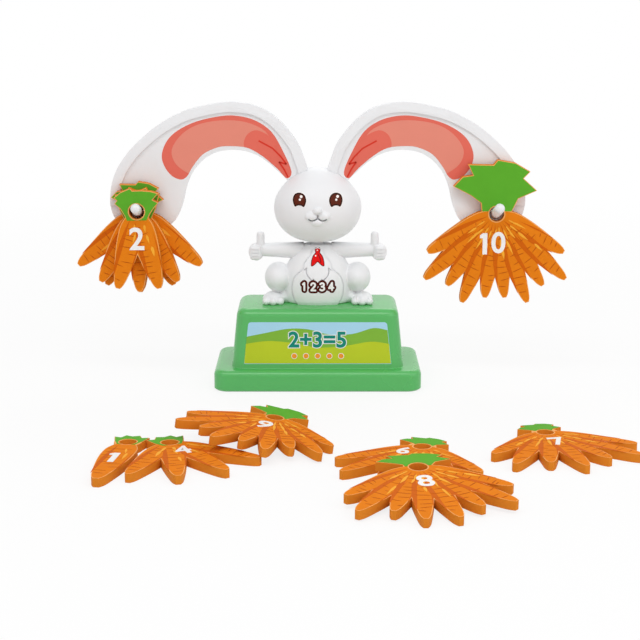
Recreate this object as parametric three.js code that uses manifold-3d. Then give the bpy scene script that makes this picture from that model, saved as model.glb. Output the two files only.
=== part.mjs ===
import * as THREE from "three";
import { mergeVertices } from "three/addons/utils/BufferGeometryUtils.js";
import loadManifold from "manifold-3d";

// Rabbit math balance. The head and its two long ears are the beam, which turns on a pin in the neck
// post. Each ear carries a slanted peg, and ten bunches of carrots, numbered 1 to 10, hang on the pegs
// or lie in front of the base. Millimetres: +X is the viewer's right, +Y the rabbit's back, +Z up.
// The origin is the middle of the underside of the base.

const wasm = await loadManifold();
wasm.setup();

// Clearances, walls and overruns shared by all pieces
const fitGap = 0.3;
const overrun = 1;
const weldDistance = 0.0001;
const shellWall = 2.2;
const stickerThickness = 0.2;
const stickerLift = 0.1;

// Numbers of steps on round shapes
const roundSteps = 22;
const smallRoundSteps = 10;
const toeSteps = 6;
const screwSteps = 8;
const cavitySteps = 12;
const holeSteps = 14;
const cornerSteps = 3;
const edgeSteps = 3;
const quarterTurn = Math.PI / 2;

// Base: a wide foot plate and a tapered block, one hollow shell open at the bottom
const plateWidth = 142;
const plateDepth = 76;
const plateHeight = 14.4;
const plateCorner = 10;
const plateEdge = 4;
const plateFootEdge = 1.2;
const blockHeight = 40.8;
const blockFootWidth = 118;
const blockFootDepth = 60;
const blockTopWidth = 110;
const blockTopDepth = 56;
const blockCorner = 9;
const blockEdge = 5.5;
const blockFillet = 1.5;
const baseWall = 2.4;
const coverThickness = 2.4;
const coverScrewInset = 12;
const bossRadius = 3.6;

// Label on the front of the block
const labelTopWidth = 95;
const labelFootWidth = 101;
const labelHeight = 29;
const labelFootLift = 1.8;
const labelCorner = 1.5;

// Countersunk screws
const screwHeadRadius = 2.8;
const screwHeadHeight = 1.7;
const screwShankRadius = 1.3;
const screwSink = 0.3;
const coverScrewLength = 9;
const postScrewLength = 9;
const footScrewLength = 9;
const bodyScrewLength = 15;
const bodyScrewSeat = 7;
const headScrewLength = 16;
const headScrewSeat = 8;

// Rabbit body, split into a front and a back shell
const bodyMiddleY = 3;
const torsoWidth = 48.4;
const torsoDepth = 33;
const torsoHeight = 40.8;
const torsoCavityHeight = 28;
const thighX = 27.5;
const thighZ = 17;
const thighWidth = 18.8;
const thighDepth = 26;
const thighHeight = 20.8;
const footX = 30.8;
const footWidth = 14.6;
const footLength = 24;
const footHeight = 10.4;
const footForward = 4;
const toeRadius = 2.7;
const toeSpread = 4.4;
const footScrewX = 30;
const bodyScrewZ = 16;
const bellyRadius = 17.8;
const bellyZ = 15;
const bibRadius = 11.5;
const bibZ = 29;
const bellyRaise = 0.5;
const bowWidth = 8.8;
const bowHeight = 11.6;
const bowZ = 24.6;

// Arms, straight out, each with a fist and a raised thumb
const armZ = 36;
const armRootX = 12;
const armRootRadius = 5.5;
const armWristX = 37;
const armWristRadius = 4.5;
const armSpigotX = 6.8;
const armSpigotRadius = 3;
const fistX = 42.9;
const fistDrop = 1.6;
const fistWidth = 10.6;
const fistDepth = 11.4;
const fistHeight = 12;
const thumbX = 39.6;
const thumbRadius = 2.4;
const thumbTopZ = 48.6;
const thumbForward = 1.5;

// Neck post and the pin the head turns on
const postWidth = 8;
const postDepth = 8;
const postFootWidth = 16;
const postFootHeight = 3;
const pinRadius = 1.5;
const pinSeat = 6;
const pinSideGap = 0.6;
const pinBossRadius = 4;
const tiltLimitDegrees = 12;

// Head, split into a front and a back shell. Its features are placed by shares of its height: above
// the chin, or above the pivot for the top screw
const headMiddleY = 2;
const headWidth = 61.2;
const headDepth = 50;
const headHeight = 52.6;
const chinGap = 1.1;
const pivotShare = 0.6825;
const headScrewTopShare = 0.18;
const headScrewSideX = 19;
const headScrewSideShare = 0.2833;
const headBossRadius = 3.2;
const muzzleLobeX = 4.2;
const muzzleLobeShare = 0.3593;
const muzzleLobeRadius = 4.6;
const muzzleLobeDepth = 5.4;
const noseShare = 0.4278;
const noseWidth = 5.4;
const noseHeight = 3.4;
const lipShare = 0.2757;
const lipWidth = 10;
const lipHeight = 5;
const eyeX = 12.3;
const eyeRiseShare = 0.557;
const eyeWidth = 8.8;
const eyeHeight = 8.8;

// Ears: ribbed plates with a back flange and a raised front rim
const earReach = 142.3;
const earRise = 60.6;
const earFrontY = -3;
const earRimRaise = 1.6;
const earRimWidth = 6.6;
const earDepth = 8;
const earPlate = 2.4;
const earFlange = 2;
const earBevel = 0.6;
const earRibThickness = 1.6;
const earRibCount = 5;
const earTabX = 15;
const earTabWidth = 8;
const earTabDepth = 5;
const earTabBelow = 12;
const earTabAbove = 5.5;
const earStickerMargin = 0.8;

// Pegs, which slant up towards the viewer
const pegInset = 19.8;
const pegDrop = 15.2;
const pegRadius = 3.4;
const pegReach = 26;
const pegSocketDepth = 6.5;
const pegSocketWall = 2.4;
const pegSlantDegrees = 16;

// Weights: flat bunches of carrots, pocketed from the back
const weightThickness = 5.5;
const weightHoleRadius = 5.2;
const weightCrownRadius = 8.4;
const weightHoleWall = 1.4;
const weightWall = 1;
const weightFace = 0.8;
const carrotLength = 66.5;
const carrotWidth = 20;
const leafWidth = 57;
const leafHeight = 37;

// Outline tables, in shares of the sizes they follow

// [height, width, depth] of the torso, from the base up
const torsoShare = [
  [0, 0.95, 0.9],
  [0.04, 0.985, 0.95],
  [0.15, 1, 0.985],
  [0.3, 0.995, 1],
  [0.42, 0.985, 0.985],
  [0.52, 0.955, 0.94],
  [0.62, 0.9, 0.87],
  [0.72, 0.805, 0.79],
  [0.82, 0.68, 0.7],
  [0.91, 0.55, 0.6],
  [0.97, 0.455, 0.53],
  [1, 0.38, 0.46],
];

// [half width, height] of the head, from the chin up
const headShare = [
  [0, 0],
  [0.2, 0.006],
  [0.382, 0.027],
  [0.578, 0.078],
  [0.732, 0.142],
  [0.892, 0.25],
  [0.97, 0.345],
  [1, 0.459],
  [0.98, 0.56],
  [0.905, 0.66],
  [0.78, 0.755],
  [0.62, 0.85],
  [0.43, 0.925],
  [0.23, 0.975],
  [0, 1],
];

// [across, up] of the ear above the pivot: along the top from the head out to the round end
const earTopShare = [
  [0.046, 0.24],
  [0.067, 0.38],
  [0.1, 0.56],
  [0.186, 0.805],
  [0.281, 0.95],
  [0.39, 1],
  [0.492, 0.983],
  [0.632, 0.904],
  [0.752, 0.762],
  [0.85, 0.582],
  [0.923, 0.4],
  [0.975, 0.2],
  [1, -0.03],
  [0.994, -0.25],
  [0.945, -0.41],
  [0.85, -0.49],
];

// and back along the underside to the head
const earUnderShare = [
  [0.752, -0.445],
  [0.688, -0.33],
  [0.653, -0.148],
  [0.632, 0.05],
  [0.6, 0.215],
  [0.548, 0.354],
  [0.481, 0.442],
  [0.394, 0.465],
  [0.316, 0.43],
  [0.25, 0.343],
  [0.181, 0.203],
  [0.13, 0.09],
  [0.08, 0.05],
];

// [across, up] of the ear sticker, clockwise from its point by the head
const earStickerShare = [
  [0.15, 0.13],
  [0.12, 0.215],
  [0.162, 0.46],
  [0.218, 0.68],
  [0.294, 0.805],
  [0.377, 0.858],
  [0.46, 0.858],
  [0.588, 0.794],
  [0.69, 0.691],
  [0.749, 0.564],
  [0.776, 0.404],
  [0.764, 0.266],
  [0.725, 0.15],
  [0.673, 0.104],
  [0.632, 0.15],
  [0.597, 0.266],
  [0.548, 0.404],
  [0.48, 0.48],
  [0.421, 0.495],
  [0.338, 0.475],
  [0.269, 0.385],
  [0.201, 0.25],
];

// [half width, distance from the hole] of one carrot
const carrotShare = [
  [0.6, 0.06],
  [0.95, 0.2],
  [0.97, 0.4],
  [0.77, 0.63],
  [0.5, 0.84],
  [0.31, 0.95],
  [0.13, 1],
];

// the same for its pocket at the back, before the wall is taken off
const pocketShare = [
  [0.6, 0.06],
  [0.95, 0.2],
  [0.97, 0.4],
  [0.31, 0.95],
];

// [across, up] of the jagged leaf tuft above the hole
const tuftShare = [
  [0, 1],
  [0.212, 0.943],
  [0.39, 0.783],
  [0.313, 0.66],
  [0.476, 0.434],
  [0.254, 0.283],
  [0.18, 0.04],
  [-0.18, 0.04],
  [-0.19, 0.2],
  [-0.313, 0.34],
  [-0.524, 0.509],
  [-0.415, 0.689],
  [-0.293, 0.717],
  [-0.354, 0.917],
  [-0.049, 0.906],
];

// [across, up] of the small crown of leaf that surrounds the hole
const crownShare = [
  [-0.26, -0.42],
  [-0.4, 0.1],
  [-0.5, 0.72],
  [-0.3, 0.64],
  [-0.2, 1],
  [0, 0.86],
  [0.2, 1],
  [0.3, 0.66],
  [0.5, 0.76],
  [0.4, 0.12],
  [0.26, -0.42],
];

// [across, up] of the bow below its knot
const bowShare = [
  [-0.16, 1],
  [0.16, 1],
  [0.18, 0.82],
  [0.42, 0.5],
  [0.5, 0.02],
  [0.26, 0.12],
  [0, 0.28],
  [-0.26, 0.12],
  [-0.5, 0],
  [-0.42, 0.5],
  [-0.18, 0.82],
];

// [across, up] of an eye, with its notched lower edge
const eyeShare = [
  [-0.34, -0.5],
  [-0.48, -0.2],
  [-0.5, 0.08],
  [-0.38, 0.36],
  [-0.14, 0.5],
  [0.14, 0.5],
  [0.38, 0.36],
  [0.5, 0.08],
  [0.48, -0.2],
  [0.34, -0.5],
  [0.12, -0.41],
  [-0.12, -0.41],
];

// Each bunch from 1 to 10: half spread of the fan in degrees, width of a carrot and lengths of the
// carrots from the outside in, width and height of the leaf, and the leaf's outline
const bunches = [
  { spread: 0, widthShare: 1, lengthShare: [1.03], leafShare: [0.38, 0.35], outline: crownShare },
  { spread: 15, widthShare: 0.85, lengthShare: [0.825], leafShare: [0.54, 0.43], outline: crownShare },
  { spread: 29, widthShare: 0.8, lengthShare: [0.82, 0.82], leafShare: [0.53, 0.46], outline: crownShare },
  { spread: 40, widthShare: 0.8, lengthShare: [0.93, 0.95], leafShare: [0.41, 0.36], outline: crownShare },
  { spread: 50, widthShare: 0.8, lengthShare: [0.83, 0.82, 0.82], leafShare: [0.63, 0.6] },
  { spread: 50, widthShare: 0.75, lengthShare: [0.84, 1, 0.9], leafShare: [0.53, 0.49] },
  { spread: 54, widthShare: 0.75, lengthShare: [0.84, 1, 0.89, 1], leafShare: [0.49, 0.49] },
  { spread: 56, widthShare: 0.75, lengthShare: [0.83, 1, 0.89, 1], leafShare: [0.75, 0.51] },
  { spread: 58, widthShare: 0.75, lengthShare: [0.83, 1, 0.89, 1, 0.9], leafShare: [0.69, 0.66] },
  { spread: 60.5, widthShare: 0.75, lengthShare: [0.81, 1, 0.9, 0.99, 0.885], leafShare: [1, 1] },
].map((bunch, at) => ({ outline: tuftShare, ...bunch, number: at + 1 }));

// Where the loose bunches lie: place of the hole in carrot lengths, and turn about +Z in degrees
const looseSpots = {
  1: { spotShare: [-1.7, -2.556], turn: -8 },
  4: { spotShare: [-1.323, -2.571], turn: 23 },
  9: { spotShare: [-0.406, -2.03], turn: -18 },
  6: { spotShare: [0.932, -2.692], turn: -17 },
  8: { spotShare: [0.842, -3.549], turn: 8 },
  7: { spotShare: [2.09, -2.256], turn: 13 },
};

// A bunch that lies partly on another leans by at most this angle, found in this many halvings
const leanLimit = Math.PI / 10;
const leanHalvings = 12;
const alongX = new THREE.Vector3(1, 0, 0);
const alongY = new THREE.Vector3(0, 1, 0);

// Heights and places that follow from the driving dimensions
const baseTopZ = plateHeight + blockHeight;
const torsoTopZ = baseTopZ + torsoHeight;
const headBottomZ = torsoTopZ + chinGap;
const headTopZ = headBottomZ + headHeight;
const headMiddleZ = headBottomZ + headHeight / 2;
const pivotZ = headBottomZ + headHeight * pivotShare;
const muzzleLobeZ = headBottomZ + headHeight * muzzleLobeShare;
const noseZ = headBottomZ + headHeight * noseShare;
const lipZ = headBottomZ + headHeight * lipShare;
const eyeZ = headBottomZ + headHeight * eyeRiseShare;
const pegX = earReach - pegInset;
const pegZ = pivotZ - pegDrop;
const earFaceY = earFrontY + earRimRaise;
const earBackY = earFrontY + earDepth;
const pegSlant = THREE.MathUtils.degToRad(pegSlantDegrees);
const tiltLimit = THREE.MathUtils.degToRad(tiltLimitDegrees);

// Materials
const plastic = (color, roughness) => new THREE.MeshStandardMaterial({ color, roughness, metalness: 0 });
const greenPlastic = plastic(0x5cb060, 0.45);
const whitePlastic = plastic(0xececec, 0.5);
const pinkSticker = plastic(0xe27864, 0.6);
const labelSticker = plastic(0xb4c42c, 0.5);
const redSticker = plastic(0xdc1414, 0.5);
const brownSticker = plastic(0x5a2314, 0.4);
const orangePlastic = plastic(0xe28020, 0.5);
const steel = new THREE.MeshStandardMaterial({ color: 0xb8b8bc, roughness: 0.35, metalness: 1 });

// A geometry made solid: shared points merged, slivers dropped, faces turned outwards
function solidOf(geometry) {
  const bare = geometry.clone();
  bare.deleteAttribute("normal");
  bare.deleteAttribute("uv");
  const merged = mergeVertices(bare, weldDistance);
  const points = merged.attributes.position;
  const corners = Array.from(merged.index.array);
  const faces = [];
  for (let at = 0; at < corners.length; at += 3) {
    const [a, b, c] = corners.slice(at, at + 3);
    if (a !== b && b !== c && c !== a) faces.push([a, b, c]);
  }
  const spot = (index) => new THREE.Vector3().fromBufferAttribute(points, index);
  const volume = faces.reduce((sum, [a, b, c]) => sum + spot(a).dot(spot(b).cross(spot(c))), 0);
  const outward = volume < 0 ? faces.map(([a, b, c]) => [a, c, b]) : faces;
  const mesh = new wasm.Mesh({
    numProp: 3,
    vertProperties: new Float32Array(points.array),
    triVerts: new Uint32Array(outward.flat()),
  });
  return new wasm.Manifold(mesh);
}

function geometryOf(solid) {
  const mesh = solid.getMesh();
  const geometry = new THREE.BufferGeometry();
  geometry.setAttribute("position", new THREE.BufferAttribute(mesh.vertProperties, 3));
  geometry.setIndex(new THREE.BufferAttribute(mesh.triVerts, 1));
  geometry.computeVertexNormals();
  return geometry;
}

const joined = (solids) => solids.reduce((whole, solid) => whole.add(solid));

// The same solid as one fresh mesh, so that later cuts merge its flat faces
const renewed = (solid) => solidOf(geometryOf(solid));

// A solid through rings of equal point counts, listed bottom to top and anticlockwise from above
function lofted(rings) {
  const count = rings[0].length;
  const points = rings.flat();
  const last = (rings.length - 1) * count;
  const index = [];
  for (let ring = 0; ring < last; ring += count) {
    for (let step = 0; step < count; step += 1) {
      const next = (step + 1) % count;
      const [a, b, c, d] = [ring + step, ring + next, ring + count + next, ring + count + step];
      index.push(a, b, c, a, c, d);
    }
  }
  const total = (ring) => ring.reduce((sum, point) => sum.add(point), new THREE.Vector3());
  const middle = (ring) => total(ring).divideScalar(count);
  const bottom = points.push(middle(rings[0])) - 1;
  const top = points.push(middle(rings[rings.length - 1])) - 1;
  for (let step = 0; step < count; step += 1) {
    const next = (step + 1) % count;
    index.push(bottom, next, step, top, last + step, last + next);
  }
  const geometry = new THREE.BufferGeometry().setFromPoints(points);
  geometry.setIndex(index);
  return solidOf(geometry);
}

function roundedRing(width, depth, corner, z) {
  const radius = Math.max(corner, overrun / 2);
  const points = [];
  for (let quarter = 0; quarter < 4; quarter += 1) {
    const sideX = quarter === 0 || quarter === 3 ? 1 : -1;
    const sideY = quarter < 2 ? 1 : -1;
    const middleX = sideX * (width / 2 - radius);
    const middleY = sideY * (depth / 2 - radius);
    for (let step = 0; step <= cornerSteps; step += 1) {
      const angle = (quarter + step / cornerSteps) * quarterTurn;
      const x = middleX + radius * Math.cos(angle);
      points.push(new THREE.Vector3(x, middleY + radius * Math.sin(angle), z));
    }
  }
  return points;
}

function ellipseRing(width, depth, middleY, z, steps = roundSteps) {
  return Array.from({ length: steps }, (unused, step) => {
    const angle = (step / steps) * Math.PI * 2;
    return new THREE.Vector3((width / 2) * Math.cos(angle), middleY + (depth / 2) * Math.sin(angle), z);
  });
}

// A rounded edge as steps of [inset, rise]
function edgeArc(radius) {
  return Array.from({ length: edgeSteps + 1 }, (unused, step) => {
    const angle = (step / edgeSteps) * quarterTurn;
    return [radius * (1 - Math.cos(angle)), radius * Math.sin(angle)];
  });
}

function boxBetween(low, high) {
  const size = new THREE.Vector3().subVectors(high, low);
  const middle = new THREE.Vector3().addVectors(low, high).divideScalar(2);
  const geometry = new THREE.BoxGeometry(size.x, size.y, size.z);
  return solidOf(geometry.translate(middle.x, middle.y, middle.z));
}

// A round bar between two points
function barBetween(start, end, radius, steps = smallRoundSteps) {
  const along = new THREE.Vector3().subVectors(end, start);
  const geometry = new THREE.CylinderGeometry(radius, radius, along.length(), steps);
  const turn = new THREE.Quaternion().setFromUnitVectors(alongY, along.normalize());
  const middle = new THREE.Vector3().addVectors(start, end).divideScalar(2);
  return solidOf(geometry.applyQuaternion(turn).translate(middle.x, middle.y, middle.z));
}

// A round bar whose far end is a half ball past the end point
function roundEndedBar(start, end, radius, steps = cavitySteps) {
  const along = new THREE.Vector3().subVectors(end, start);
  const length = along.length();
  const cap = edgeArc(radius).map(([inset, rise]) => new THREE.Vector2(radius - inset, length + rise));
  const profile = [new THREE.Vector2(0, 0), new THREE.Vector2(radius, 0), ...cap];
  const turn = new THREE.Quaternion().setFromUnitVectors(alongY, along.normalize());
  const geometry = new THREE.LatheGeometry(profile, steps);
  return solidOf(geometry.applyQuaternion(turn).translate(start.x, start.y, start.z));
}

function ellipsoid(width, depth, height, middle, steps = smallRoundSteps) {
  const geometry = new THREE.SphereGeometry(0.5, steps, Math.ceil(steps * 0.6));
  geometry.rotateX(quarterTurn);
  return solidOf(geometry.scale(width, depth, height).translate(middle.x, middle.y, middle.z));
}

const shapeOf = (points) => new THREE.Shape(points.map(([x, y]) => new THREE.Vector2(x, y)));

const placedShare = (table, width, height) => table.map(([x, y]) => [x * width, y * height]);

// An upright outline in X and Z, given thickness from frontY back to backY
function facing(points, frontY, backY, bevel = 0) {
  const depth = backY - frontY - bevel * 2;
  const geometry = new THREE.ExtrudeGeometry(shapeOf(points), {
    depth,
    bevelEnabled: bevel > 0,
    bevelSize: bevel,
    bevelThickness: bevel,
    bevelOffset: -bevel,
    bevelSegments: 1,
  });
  return solidOf(geometry.rotateX(quarterTurn).translate(0, backY - bevel, 0));
}

// A flat outline in X and Y, given thickness upwards from bottomZ
function layer(points, bottomZ, thickness) {
  const geometry = new THREE.ExtrudeGeometry(shapeOf(points), { depth: thickness, bevelEnabled: false });
  return solidOf(geometry.translate(0, 0, bottomZ));
}

// A closed outline moved inwards by a distance, point by point along its normals
function insetOutline(points, distance) {
  const area = points.reduce((sum, [x, y], at) => {
    const [nextX, nextY] = points[(at + 1) % points.length];
    return sum + x * nextY - nextX * y;
  }, 0);
  const inward = Math.sign(area) * distance;
  return points.map(([x, y], at) => {
    const before = new THREE.Vector2(...points.at(at - 1));
    const after = new THREE.Vector2(...points[(at + 1) % points.length]);
    const here = new THREE.Vector2(x, y);
    const incoming = here.clone().sub(before).normalize();
    const outgoing = after.sub(here).normalize();
    const along = incoming.clone().add(outgoing).normalize();
    const stretch = 1 / Math.max(along.dot(incoming), 0.5);
    return [x - along.y * inward * stretch, y + along.x * inward * stretch];
  });
}

// Countersunk screw along +Z, its head's flat face at the origin. grow widens it into its own hole,
// and lead runs the head back out of the face as a counterbore
function screwAlongZ(length, grow = 0, lead = 0) {
  const profile = [
    [0, -lead],
    [screwHeadRadius + grow, -lead],
    ...(lead > 0 ? [[screwHeadRadius + grow, 0]] : []),
    [screwShankRadius + grow, screwHeadHeight],
    [screwShankRadius + grow, length + grow],
    [0, length + grow],
  ];
  const outline = profile.map(([x, y]) => new THREE.Vector2(x, y));
  return new THREE.LatheGeometry(outline, screwSteps).rotateX(quarterTurn);
}

const screwUp = (spot, length, grow, lead) =>
  solidOf(screwAlongZ(length, grow, lead).translate(spot.x, spot.y, spot.z));

const screwForward = (spot, length, grow, lead) =>
  solidOf(screwAlongZ(length, grow, lead).rotateX(quarterTurn).translate(spot.x, spot.y, spot.z));

const model = new THREE.Group();

function addPiece(name, solid, material) {
  const mesh = new THREE.Mesh(solid.isBufferGeometry ? solid : geometryOf(solid), material);
  mesh.name = name;
  model.add(mesh);
  return mesh;
}

const sides = [
  ["left", -1],
  ["right", 1],
];

// Screws under the base: the bottom cover, the neck post and the rabbit's feet
const coverScrewSpots = [-1, 1].flatMap((sideY) =>
  [-1, 1].map((sideX) => {
    const x = sideX * (plateWidth / 2 - coverScrewInset);
    return new THREE.Vector3(x, sideY * (plateDepth / 2 - coverScrewInset), screwSink);
  }),
);
const postScrewSpot = new THREE.Vector3(0, bodyMiddleY, baseTopZ - baseWall);
const footScrewSpots = sides.map(([, side]) => {
  return new THREE.Vector3(side * footScrewX, 0, baseTopZ - baseWall);
});

function plateRing(inset, z) {
  return roundedRing(plateWidth - inset * 2, plateDepth - inset * 2, plateCorner - inset, z);
}

function blockRing(inset, z) {
  const rise = THREE.MathUtils.clamp((z - plateHeight) / blockHeight, 0, 1);
  const width = THREE.MathUtils.lerp(blockFootWidth, blockTopWidth, rise);
  const depth = THREE.MathUtils.lerp(blockFootDepth, blockTopDepth, rise);
  return roundedRing(width - inset * 2, depth - inset * 2, blockCorner - inset, z);
}

function buildBase() {
  const outside = lofted([
    plateRing(plateFootEdge, 0),
    plateRing(0, plateFootEdge),
    ...edgeArc(plateEdge).map(([inset, rise]) => plateRing(inset, plateHeight - plateEdge + rise)),
    blockRing(-blockFillet, plateHeight),
    blockRing(0, plateHeight + blockFillet),
    ...edgeArc(blockEdge).map(([inset, rise]) => blockRing(inset, baseTopZ - blockEdge + rise)),
  ]);
  const ceiling = baseTopZ - baseWall;
  const insideEdge = Math.max(blockEdge - baseWall, overrun);
  const inside = lofted([
    plateRing(baseWall, -overrun),
    plateRing(baseWall, plateHeight - baseWall),
    blockRing(baseWall, plateHeight - baseWall),
    ...edgeArc(insideEdge).map(([inset, rise]) => {
      return blockRing(baseWall + inset, ceiling - insideEdge + rise);
    }),
  ]);
  const bosses = coverScrewSpots.map((spot) => {
    const start = new THREE.Vector3(spot.x, spot.y, coverThickness);
    return barBetween(start, new THREE.Vector3(spot.x, spot.y, plateHeight - baseWall / 2), bossRadius);
  });
  const holes = [
    ...coverScrewSpots.map((spot) => screwUp(spot, coverScrewLength, fitGap, overrun)),
    screwUp(postScrewSpot, postScrewLength, fitGap, overrun),
    ...footScrewSpots.map((spot) => screwUp(spot, footScrewLength, fitGap, overrun)),
  ];
  const shell = joined([outside.subtract(inside), ...bosses]).subtract(joined(holes));
  addPiece("base_shell", shell, greenPlastic);

  const coverInset = baseWall + fitGap;
  const cover = lofted([plateRing(coverInset, 0), plateRing(coverInset, coverThickness)]);
  addPiece("base_bottom_cover", cover.subtract(joined(holes.slice(0, 4))), greenPlastic);
  coverScrewSpots.forEach((spot, at) => {
    addPiece(`base_cover_screw_${at + 1}`, screwUp(spot, coverScrewLength), steel);
  });

  const slope = Math.atan2((blockFootDepth - blockTopDepth) / 2, blockHeight);
  const labelLow = plateHeight + blockFillet + labelFootLift;
  const labelPoints = [
    [-labelFootWidth / 2, 0],
    [labelFootWidth / 2, 0],
    [labelTopWidth / 2, labelHeight - labelCorner],
    [labelTopWidth / 2 - labelCorner, labelHeight],
    [labelCorner - labelTopWidth / 2, labelHeight],
    [-labelTopWidth / 2, labelHeight - labelCorner],
  ];
  const footRise = labelLow - plateHeight;
  const faceY = -(blockFootDepth / 2 - footRise * Math.tan(slope)) - stickerLift;
  const flat = geometryOf(facing(labelPoints, -stickerThickness, 0));
  const label = flat.rotateX(-slope).translate(0, faceY, labelLow);
  addPiece("base_label", solidOf(label), labelSticker);
}

function torsoRing([, width, depth], grow, z, steps) {
  const across = torsoWidth * width + grow * 2;
  const through = torsoDepth * depth + grow * 2;
  return ellipseRing(across, through, bodyMiddleY, z, steps);
}

function torsoSolid(grow) {
  return lofted(torsoShare.map((level) => torsoRing(level, grow, baseTopZ + level[0] * torsoHeight)));
}

// The hollow of the torso, open at the bottom
function torsoHollow() {
  const inside = torsoShare.filter(([height]) => height * torsoHeight < torsoCavityHeight);
  const levels = inside.filter((unused, at) => at % 2 === 0);
  const rings = levels.map((level, at) => {
    const z = baseTopZ + (at === 0 ? -overrun : level[0] * torsoHeight);
    return torsoRing(level, -shellWall, z, cavitySteps);
  });
  return lofted(rings);
}

function uprightPost(gap) {
  const half = postWidth / 2 + gap;
  const foot = postFootWidth / 2 + gap;
  const crown = Array.from({ length: edgeSteps * 4 + 1 }, (unused, step) => {
    const angle = (step / (edgeSteps * 4)) * Math.PI;
    return [half * Math.cos(angle), pivotZ + half * Math.sin(angle)];
  });
  const outline = [
    [foot, baseTopZ],
    [foot, baseTopZ + postFootHeight + gap],
    [half, baseTopZ + postFootHeight + gap],
    ...crown,
    [-half, baseTopZ + postFootHeight + gap],
    [-foot, baseTopZ + postFootHeight + gap],
    [-foot, baseTopZ],
  ];
  const halfDepth = postDepth / 2 + gap;
  return facing(outline, bodyMiddleY - halfDepth, bodyMiddleY + halfDepth);
}

function armSolid(side) {
  const spot = (x, z, y = bodyMiddleY) => new THREE.Vector3(side * x, y, baseTopZ + z);
  const profile = [
    [0, armRootX],
    [armRootRadius, armRootX],
    [(armRootRadius + armWristRadius) / 2, (armRootX + armWristX) / 2],
    [armWristRadius, armWristX],
    [0, armWristX + armWristRadius],
  ];
  const outline = profile.map(([x, y]) => new THREE.Vector2(x, y));
  const sleeve = new THREE.LatheGeometry(outline, smallRoundSteps).rotateZ(-side * quarterTurn);
  sleeve.translate(0, bodyMiddleY, baseTopZ + armZ);
  const fist = ellipsoid(fistWidth, fistDepth, fistHeight, spot(fistX, armZ - fistDrop));
  const thumbY = bodyMiddleY - thumbForward;
  const thumbLength = thumbTopZ - armZ - thumbRadius;
  const thumb = new THREE.CapsuleGeometry(thumbRadius, thumbLength, edgeSteps, screwSteps);
  thumb.rotateX(quarterTurn);
  thumb.translate(side * thumbX, thumbY, baseTopZ + armZ + thumbLength / 2);
  const hand = joined([solidOf(sleeve), fist, solidOf(thumb)]);
  const spigotEnd = spot(armRootX + armRootRadius, armZ);
  const spigot = barBetween(spot(armSpigotX, armZ), spigotEnd, armSpigotRadius);
  return hand.subtract(torsoSolid(fitGap)).add(spigot);
}

function splitAt(solid, seamY) {
  const reach = earReach;
  const low = new THREE.Vector3(-reach, -reach, 0);
  const high = new THREE.Vector3(reach, seamY - fitGap / 2, reach * 2);
  const front = solid.intersect(boxBetween(low, high));
  const backLow = new THREE.Vector3(-reach, seamY + fitGap / 2, 0);
  const back = solid.intersect(boxBetween(backLow, new THREE.Vector3(reach, reach, reach * 2)));
  return [front, back];
}

const bodyScrewSpots = sides.map(([, side]) => {
  const z = baseTopZ + bodyScrewZ;
  return new THREE.Vector3(side * thighX, bodyMiddleY + bodyScrewSeat, z);
});

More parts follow.
